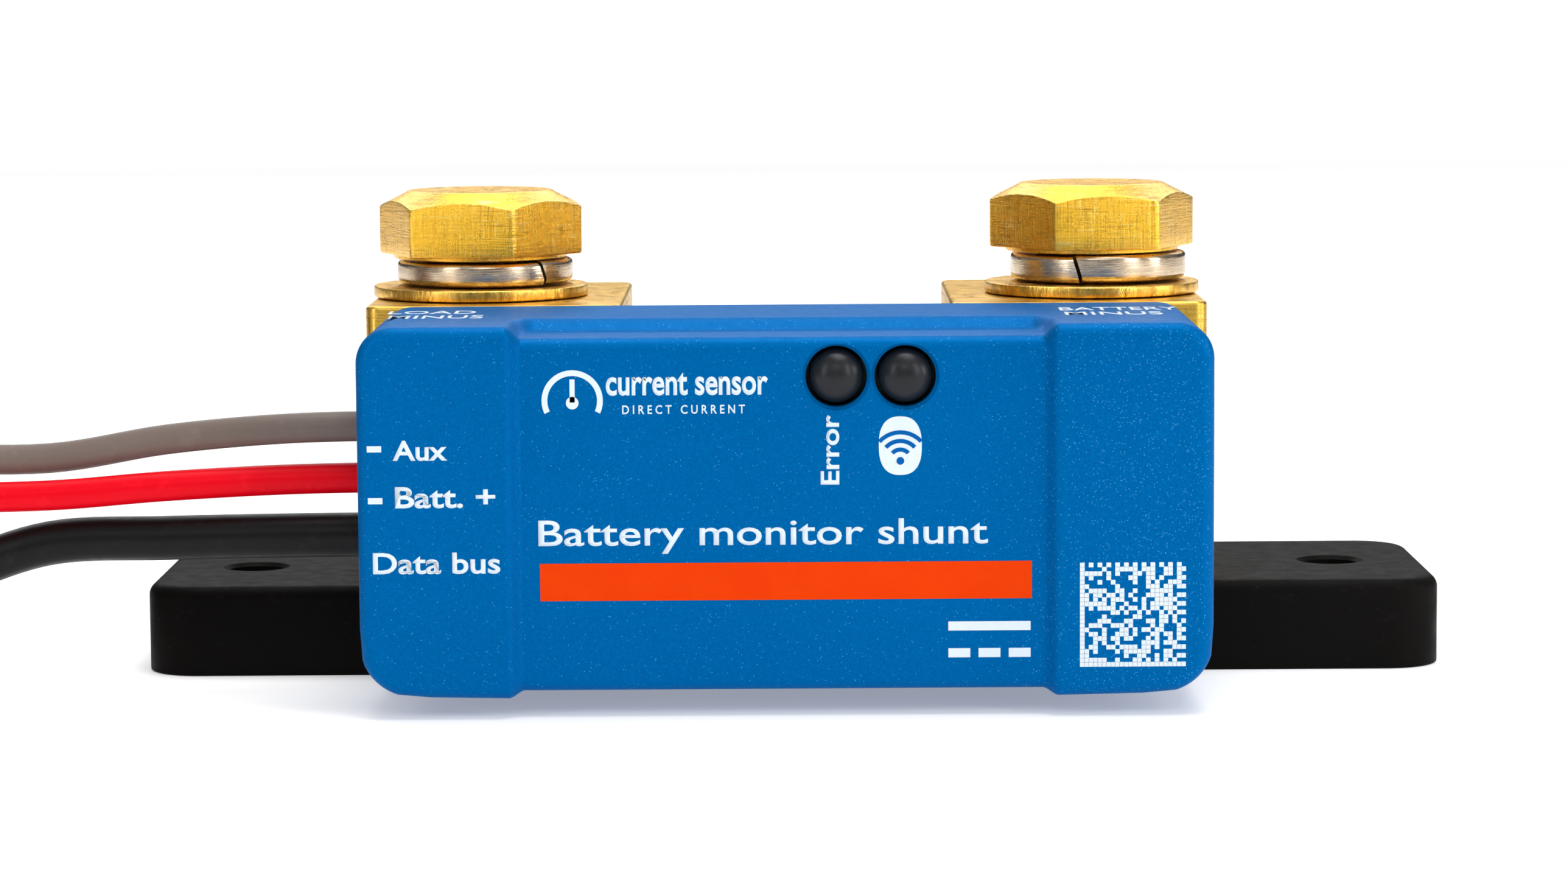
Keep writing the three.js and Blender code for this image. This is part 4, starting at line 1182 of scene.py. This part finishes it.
def bolt(t):
    h0 = BLOCK_TOP + SEAT + 1.05 + SEAT + t["spring"] + SEAT
    h1 = h0 + 6.3
    turn = math.radians(t["hex"])
    n = 360
    apothem, flat_r, slope = 8.42, 6.6, 0.50
    rnd = random.Random(t["seed"])
    waves = [(rnd.uniform(20, 70), rnd.uniform(0, 6.3), rnd.uniform(0.3, 1.0)) for _ in range(9)]

    def wear(a, z):
        return sum(w * math.sin(k * a + p + 1.7 * z) for k, p, w in waves) / 6.0
    R = apothem / math.cos(math.pi / 6)
    V, Fc = [], []

    def ring(rad, zz):
        k = len(V)
        for i in range(n):
            a = 2 * math.pi * i / n
            r = rad(a) if callable(rad) else rad
            z = zz(a) if callable(zz) else zz
            V.append((t["x"] + r * math.cos(a + turn), t["y"] + r * math.sin(a + turn), z))
        return k

    loops = []
    # top: flat with a faint dish, then the chamfer cone down to the hexagon's side
    loops += [ring(r, h1 - 0.05 * (1 - (r / flat_r) ** 2)) for r in (1.0, 2.5, 4.0, 5.4, 6.3)]
    loops += [ring(flat_r - 0.12, h1 - 0.002), ring(flat_r + 0.05, h1 - 0.02), ring(flat_r + 0.18, h1 - 0.075)]
    def cone(r):
        return h1 - max(0.0, r - flat_r) * slope - 0.02
    hexr = lambda a: hex_radius(a, apothem, 0.42) - 0.035 * max(0.0, wear(a, 0.0)) * (1 if abs((a + math.pi / 6) % (math.pi / 3) - math.pi / 6) < 0.1 else 0.15)
    for k in (0.25, 0.5, 0.75):
        loops.append(ring(lambda a, k=k: flat_r + 0.18 + (hexr(a) - 0.14 - flat_r - 0.18) * k, lambda a, k=k: cone(flat_r + 0.18 + (hexr(a) - 0.14 - flat_r - 0.18) * k)))
    for e, d in ((0.14, 0.0), (0.07, 0.025), (0.02, 0.09), (0.0, 0.19)):
        loops.append(ring(lambda a, e=e: hexr(a) - e, lambda a, e=e, d=d: cone(hexr(a) - 0.14) - d - 0.03 * wear(a, 3.0)))
    low = h0 + 0.35
    for k in (0.25, 0.5, 0.75):
        loops.append(ring(hexr, lambda a, k=k: (cone(hexr(a) - 0.14) - 0.19) * (1 - k) + (low + 0.3) * k))
    loops += [ring(hexr, low + 0.22), ring(lambda a: hexr(a) - 0.06, low + 0.06), ring(lambda a: hexr(a) - 0.2, low)]
    loops += [ring(8.12, low), ring(8.1, low - 0.05), ring(8.08, h0 + 0.06), ring(8.0, h0)]
    loops += [ring(5.3, h0), ring(5.05, h0 - 0.15), ring(4.95, h0 - 0.5)]
    # threads: a helical ridge on the shank, pitch 1.5
    pitch, depth, tip = 1.5, 0.88, h0 - 22
    steps = int((22 - 0.8) / 0.15)
    for i in range(steps + 1):
        z = h0 - 0.8 - (22 - 0.8) * i / steps
        fade = min(1.0, i * 0.15 / 1.0)
        end = min(1.0, (z - tip) / 1.0)
        def rad(a, z=z, fade=fade, end=end):
            ph = ((z / pitch) - a / (2 * math.pi)) % 1.0
            saw = abs(2 * ph - 1)
            g = min(1.0, max(0.0, (saw - 0.12) / 0.76))
            return 4.95 - depth * g * fade - 1.0 * (1 - end) * (1 - g * 0.6)
        loops.append(ring(rad, z))
    for a, b in zip(loops, loops[1:]):
        for i in range(n):
            j = (i + 1) % n
            Fc.append((a + i, a + j, b + j, b + i))
    c = len(V)
    V.append((t["x"], t["y"], h1 - 0.05))
    Fc += [(c, loops[0] + i, loops[0] + (i + 1) % n) for i in range(n)]
    c = len(V)
    V.append((t["x"], t["y"], tip))
    Fc += [(c, loops[-1] + (i + 1) % n, loops[-1] + i) for i in range(n)]
    piece(t["name"] + "_bolt_fine", V, Fc, "bolt", t["name"] + "_bolt", t["name"] + "_bolt", "brass_hardware", smooth=24)


for t in (LOAD, BATTERY):
    plain_washer(t)
    spring_washer(t)
    bolt(t)


# =====================================================================================================
# what is on the leads
# =====================================================================================================
def ring_terminal(name, x, y, z, body, node):
    """Crimp barrel with a seam and two crimp marks, tongue and eye."""
    eye_x, R, hole, thick = 18.2, 8.4, 5.25, 0.9
    n = 96
    # eye and tongue as one outline around the hole
    outer = []
    a0 = math.asin(2.6 / R)
    for i in range(n + 1):
        a = -math.pi + a0 + (2 * math.pi - 2 * a0) * i / n
        outer.append((eye_x + R * math.cos(a), R * math.sin(a)))
    blend_hi = rounded([outer[-1], (9.8, 2.3), (6.4, 2.2)], 2.0, 5)[1:]
    blend_lo = rounded([(6.4, -2.2), (9.8, -2.3), outer[0]], 2.0, 5)[:-1]
    plan = blend_lo + outer + blend_hi
    V, Fc = [], []
    m = len(plan)
    # match the hole's points to the outline's by angle, so faces join ring to ring
    def put(u, v, w):
        return (x + u, y + v, z + w)
    levels = [(0.12, 0.0), (0.0, 0.12), (0.0, thick - 0.12), (0.12, thick)]
    starts = []
    for e, w in levels:
        starts.append(len(V))
        for i, (u, v) in enumerate(plan):
            d = math.hypot(u - eye_x, v)
            k = (d - e) / d
            V.append(put(eye_x + (u - eye_x) * k, v * k, w))
    for s0, s1 in zip(starts, starts[1:]):
        for i in range(m - 1):
            Fc.append((s0 + i, s0 + i + 1, s1 + i + 1, s1 + i))
        Fc.append((s0 + m - 1, s0, s1, s1 + m - 1))
    holes = []
    for e, w in ((-0.12, 0.0), (0.0, 0.12), (0.0, thick - 0.12), (-0.12, thick)):
        holes.append(len(V))
        for u, v in plan:
            a = math.atan2(v, u - eye_x)
            V.append(put(eye_x + (hole - e) * math.cos(a), (hole - e) * math.sin(a), w))
    for s0, s1 in zip(holes, holes[1:]):
        for i in range(m - 1):
            Fc.append((s0 + i + 1, s0 + i, s1 + i, s1 + i + 1))
        Fc.append((s0, s0 + m - 1, s1 + m - 1, s1))
    for a, b in ((starts[0], holes[0]), (starts[-1], holes[-1])):
        for i in range(m):
            j = (i + 1) % m
            Fc.append((a + i, a + j, b + j, b + i))
    # barrel: rolled tube with two crimp dents
    prof_n, loops = 48, []
    for i in range(41):
        u = 8.0 * i / 40
        dent = sum(0.42 * math.exp(-((u - c) / 0.75) ** 2) for c in (4.0, 6.2))
        bell = 0.0
        loop = []
        for k in range(prof_n):
            a = 2 * math.pi * k / prof_n
            r = 2.1 - 0.02
            top = max(0.0, math.sin(a))
            r -= dent * top ** 3 + 0.08 * math.exp(-((a - math.pi / 2) / 0.07) ** 2)
            if u > 7.2:
                r -= (u - 7.2) * 0.25
            loop.append(put(u, r * math.cos(a), 2.1 + r * math.sin(a)))
        loops.append(loop)
    bore = []
    for u in (0.0, 3.0, 7.6):
        bore.append([put(u, 1.45 * math.cos(2 * math.pi * k / prof_n), 2.1 + 1.45 * math.sin(2 * math.pi * k / prof_n)) for k in range(prof_n)])
    bv, bf = rings(bore[::-1] + loops, caps=(True, True))
    obj = piece(name, *merged((V, Fc), (bv, bf)), "tin", body, node, "tinned_metal", smooth=32)
    return obj


def shrink_sleeve(name, points, radii, look, body, n=40):
    """A close sleeve that follows the given points."""
    P = [Vector(p) for p in points]
    loops = []
    up = Vector((0, 0, 1))
    for i, p in enumerate(P):
        t = (P[min(i + 1, len(P) - 1)] - P[max(i - 1, 0)]).normalized()
        side = t.cross(up).normalized()
        top = side.cross(t).normalized()
        r = radii[i]
        loops.append([tuple(p + side * (r * math.cos(2 * math.pi * k / n)) + top * (r * math.sin(2 * math.pi * k / n))) for k in range(n)])
    v, f = rings(loops)
    return piece(name, v, f, look, body, smooth=45)


sense_ring = ring_terminal("battery_sense_terminal_fine", -115.1, 29.8, 9.5, "battery_sense_lead", "battery_sense_ring_terminal")
aux_ring = ring_terminal("aux_terminal_fine", -114.6, 12.5, 33.3, "aux_lead", "aux_ring_terminal")


def sleeve_line(x, y, z, back):
    xs = [-back + i * (back + 3.0) / 18 for i in range(19)]
    pts = [(x + u, y, z) for u in xs]
    rad = []
    for u in xs:
        s = min(1.0, max(0.0, (u + 1.4) / 1.8))
        s = s * s * (3 - 2 * s)
        rad.append(1.58 + (2.27 - 1.58) * s)
    rad[0] = 1.42
    rad[-1] = 2.14
    return pts, rad


# ferrules inside the housing: a crimped, ridged pin
for name, z, body in (("aux", 24.5, "aux_lead"), ("battery_sense", 19.9, "battery_sense_lead")):
    prof = [(0, -4.5), (1.3, -4.5), (1.3, -6.3), (0.8, -6.5)]
    u = 7.0
    while u < 12.2:
        prof += [(0.8, -u), (0.66, -(u + 0.2)), (0.66, -(u + 0.45)), (0.8, -(u + 0.65))]
        u += 1.0
    prof += [(0.8, -12.7), (0.6, -13.0), (0, -13.0)]
    # heights run along -X from the port
    v, f = lathe([(r, h) for r, h in prof], 36, PORT_X, PORT_Y, z, "X")
    piece(name + "_ferrule_fine", v, f, "tin", body, name + "_ferrule", "tinned_metal", smooth=32)


def data_plug():
    X = PORT_X
    bodybox = slab(X + 1.2, X + 9.1, PORT_Y - 1.45, PORT_Y + 4.4, 12.25, 16.55, 0.35, 0.3, 0.3, 4, 3)
    fv, ff = slab(-3.9, 4.1, 12.0, 17.55, 0, 2.2, 0.9, 0.3, 0.3, 6, 4)
    flange = ([(X - 0.2 + (2.2 - z), PORT_Y + x, y) for x, y, z in fv], ff)
    ribs = [block_box(X + 3.0 + k * 1.5, X + 3.7 + k * 1.5, PORT_Y - 1.43, PORT_Y + 4.38, 16.5, 16.66 - 0.14) for k in range(4)]
    gland = lathe([(0, -0.6), (2.6, -0.6), (2.6, 0.02), (2.45, 0.2), (2.1, 0.28), (0, 0.28)], 48, X + 0.15, PORT_Y, 14.8, "X")
    return piece("data_plug_fine", *merged(bodybox, flange, *ribs, gland), "connector", "data_lead", "data_plug", "connector_black", smooth=32)


plug = data_plug()


def far_connector():
    y0 = PORT_Y
    shell = slab(-140.55, -132.4, y0 - 4.0, y0 + 4.0, 0.15, 5.2, 0.7, 0.45, 0.35, 5, 4)
    neck = slab(-132.45, -130.5, y0 - 3.1, y0 + 3.1, 0.5, 4.9, 0.8, 0.5, 0.4, 5, 4)
    latch = slab(-139.4, -133.6, y0 - 1.6, y0 + 1.6, 5.15, 5.9, 0.3, 0.25, 0.05, 4, 3)
    ridges = [slab(-138.9 + k * 0.9, -138.45 + k * 0.9, y0 - 1.45, y0 + 1.45, 5.85, 6.02, 0.1, 0.08, 0.02, 2, 2) for k in range(4)]
    v, f = merged(neck, latch, *ridges)
    body = raw("far_raw", *shell)
    cuts = []
    for i in range(4):
        yy = y0 - 3.0 + 2.0 * i
        cv, cf = block_box(-142, -138.2, yy - 0.62, yy + 0.62, 1.7, 3.5)
        cuts.append(raw("pin", cv, cf))
    cv, cf = block_box(-142, -139.8, y0 - 3.6, y0 + 3.6, 0.9, 4.3)
    cuts.append(raw("mouth", cv, cf))
    me = take(carve(body, cuts))
    main = settle("data_connector_fine", me, "connector", "data_lead", "data_far_connector", "connector_black", smooth=30)
    piece("data_connector_latch", v, f, "connector", "data_lead", smooth=30)
    pins = [slab(-139.7, -138.3, y0 - 3.0 + 2.0 * i - 0.3, y0 - 3.0 + 2.0 * i + 0.3, 2.3, 2.9, 0.08, 0.06, 0.06, 2, 2) for i in range(4)]
    piece("data_connector_contacts", *merged(*pins), "brass_small", "data_lead", smooth=30)
    v2, f2 = lathe([(0, -0.05), (3.0, -0.05), (2.85, 0.5), (2.45, 0.8), (2.3, 2.2), (2.12, 3.1), (0, 3.1)], 40, 0, PORT_Y, 2.55, "X")
    return main


far = far_connector()


# ties round each coil
def coil_tie(name, cx, cy, angle, r0, r1, z0, z1, look, body, width=2.6, thick=0.38):
    """A flat band that wraps the bundle's section at one angle."""
    c = 0.9
    sec = []
    for px, pz, a0 in ((r1 - c, z0 + c, -90), (r1 - c, z1 - c, 0), (r0 + c, z1 - c, 90), (r0 + c, z0 + c, 180)):
        for i in range(7):
            a = math.radians(a0 + 90 * i / 6)
            sec.append((px, pz, math.cos(a), math.sin(a), c))
    a = math.radians(angle)
    er, et = Vector((math.cos(a), math.sin(a), 0)), Vector((-math.sin(a), math.cos(a), 0))
    loops = []
    for w, off in ((-width / 2, 0.02), (-width / 2 + 0.12, thick), (0, thick), (width / 2 - 0.12, thick), (width / 2, 0.02)):
        loops.append([tuple(Vector((cx, cy, 0)) + er * (px + (c + off) * dx) + et * w + Vector((0, 0, pz + (c + off) * dz))) for px, pz, dx, dz, _ in sec])
    inner = []
    for w in (width / 2, -width / 2):
        inner.append([tuple(Vector((cx, cy, 0)) + er * (px + c * dx * 0.98) + et * w + Vector((0, 0, pz + c * dz * 0.98))) for px, pz, dx, dz, _ in sec])
    allv = loops + inner + [loops[0]]
    v, f = rings(allv, caps=(False, False))
    return piece(name, v, f, look, body, smooth=40)


data_tie_a = coil_tie("data_coil_tie_a", -107.5, 11.0, 30, 15.93, 27.98, 0.5, 8.5, "tie", "data_lead")
data_tie_b = coil_tie("data_coil_tie_b", -107.5, 11.0, 205, 15.93, 27.98, 0.5, 8.5, "tie", "data_lead")
sense_tie = coil_tie("battery_sense_coil_tie", -107.5, 1.7, 15, 8.05, 19.15, 9.55, 20.41, "tie", "battery_sense_lead")
aux_tie = coil_tie("aux_coil_tie", -107.5, 3.9, -30, 8.05, 19.15, 21.4, 32.26, "tie", "aux_lead")
sense_sleeve = shrink_sleeve("battery_sense_sleeve", *sleeve_line(-115.1, 29.8, 11.6, 1.2), "sleeve_red", "battery_sense_lead")
aux_sleeve = shrink_sleeve("aux_sleeve", *sleeve_line(-114.6, 12.5, 35.4, 1.2), "sleeve_grey", "aux_lead")

# =====================================================================================================
# floor and lights
# =====================================================================================================
def make_stage():
    me = bpy.data.meshes.new("floor")
    me.from_pydata([(-14, -14, 0), (14, -14, 0), (14, 14, 0), (-14, 14, 0)], [], [(0, 1, 2, 3)])
    floor = bpy.data.objects.new("floor", me)
    scene.collection.objects.link(floor)
    m = Nodes("floor_paper")
    base = m.mix(m.noise(3, 3, 0.5), (0.80, 0.80, 0.80), (0.83, 0.83, 0.83))
    # the paper glows with painted light: weaker on the table near the object, stronger towards its far edges
    away = m.new("ShaderNodeVectorMath", operation="LENGTH")
    m.feed(away.inputs[0], m.pos)
    glow = m.span(away.outputs["Value"], 0.35, 1.6, 0.30, 0.95)
    m.set(Base_Color=base, Roughness=0.75, Specular_IOR_Level=0.1, Emission_Color=(1, 1, 1, 1), Emission_Strength=glow)
    m.bumps((m.noise(900, 3, 0.5), 0.02, 0.0002))
    me.materials.append(m.mat)

    world = bpy.data.worlds.new("studio")
    world.use_nodes = True
    tree = world.node_tree
    bg = tree.nodes["Background"]
    co = tree.nodes.new("ShaderNodeTexCoord")
    sep = tree.nodes.new("ShaderNodeSeparateXYZ")
    tree.links.new(co.outputs["Generated"], sep.inputs[0])
    ramp = tree.nodes.new("ShaderNodeValToRGB")
    el = ramp.color_ramp.elements
    el[0].position, el[0].color = 0.0, (0.10, 0.10, 0.105, 1)
    el[1].position, el[1].color = 0.75, (0.95, 0.95, 0.95, 1)
    mid = el.new(0.22)
    mid.color = (0.22, 0.22, 0.225, 1)
    tree.links.new(sep.outputs["Z"], ramp.inputs[0])
    tree.links.new(ramp.outputs[0], bg.inputs[0])
    bg.inputs[1].default_value = 0.42
    scene.world = world

    def area(name, at, to, w, h, power, tint=(1, 1, 1)):
        li = bpy.data.lights.new(name, "AREA")
        li.shape, li.size, li.size_y, li.energy, li.color = "RECTANGLE", w, h, power, tint
        o = bpy.data.objects.new(name, li)
        scene.collection.objects.link(o)
        o.location = at
        o.rotation_euler = (Vector(to) - Vector(at)).to_track_quat("-Z", "Y").to_euler()
        return o
    area("key_top", (0.03, 0.02, 0.60), (0, 0.0, 0.02), 0.60, 0.34, 3.2)
    area("side_right", (0.92, -0.17, 0.26), (0, 0, 0.02), 0.10, 0.40, 1.8)
    area("front_left", (-0.50, -0.48, 0.30), (0, 0, 0.02), 0.14, 0.46, 1.1)
    area("front_right", (0.50, -0.48, 0.30), (0, 0, 0.02), 0.14, 0.46, 1.5)
    area("front_fill", (0.0, -0.9, 0.60), (0, 0, 0.02), 0.5, 0.3, 1.3)
    area("back", (0, 0.75, 0.45), (0, 0, 0.03), 0.9, 0.3, 2.4)
    scene.view_settings.view_transform = "Standard"
    scene.view_settings.look = "None"


make_stage()
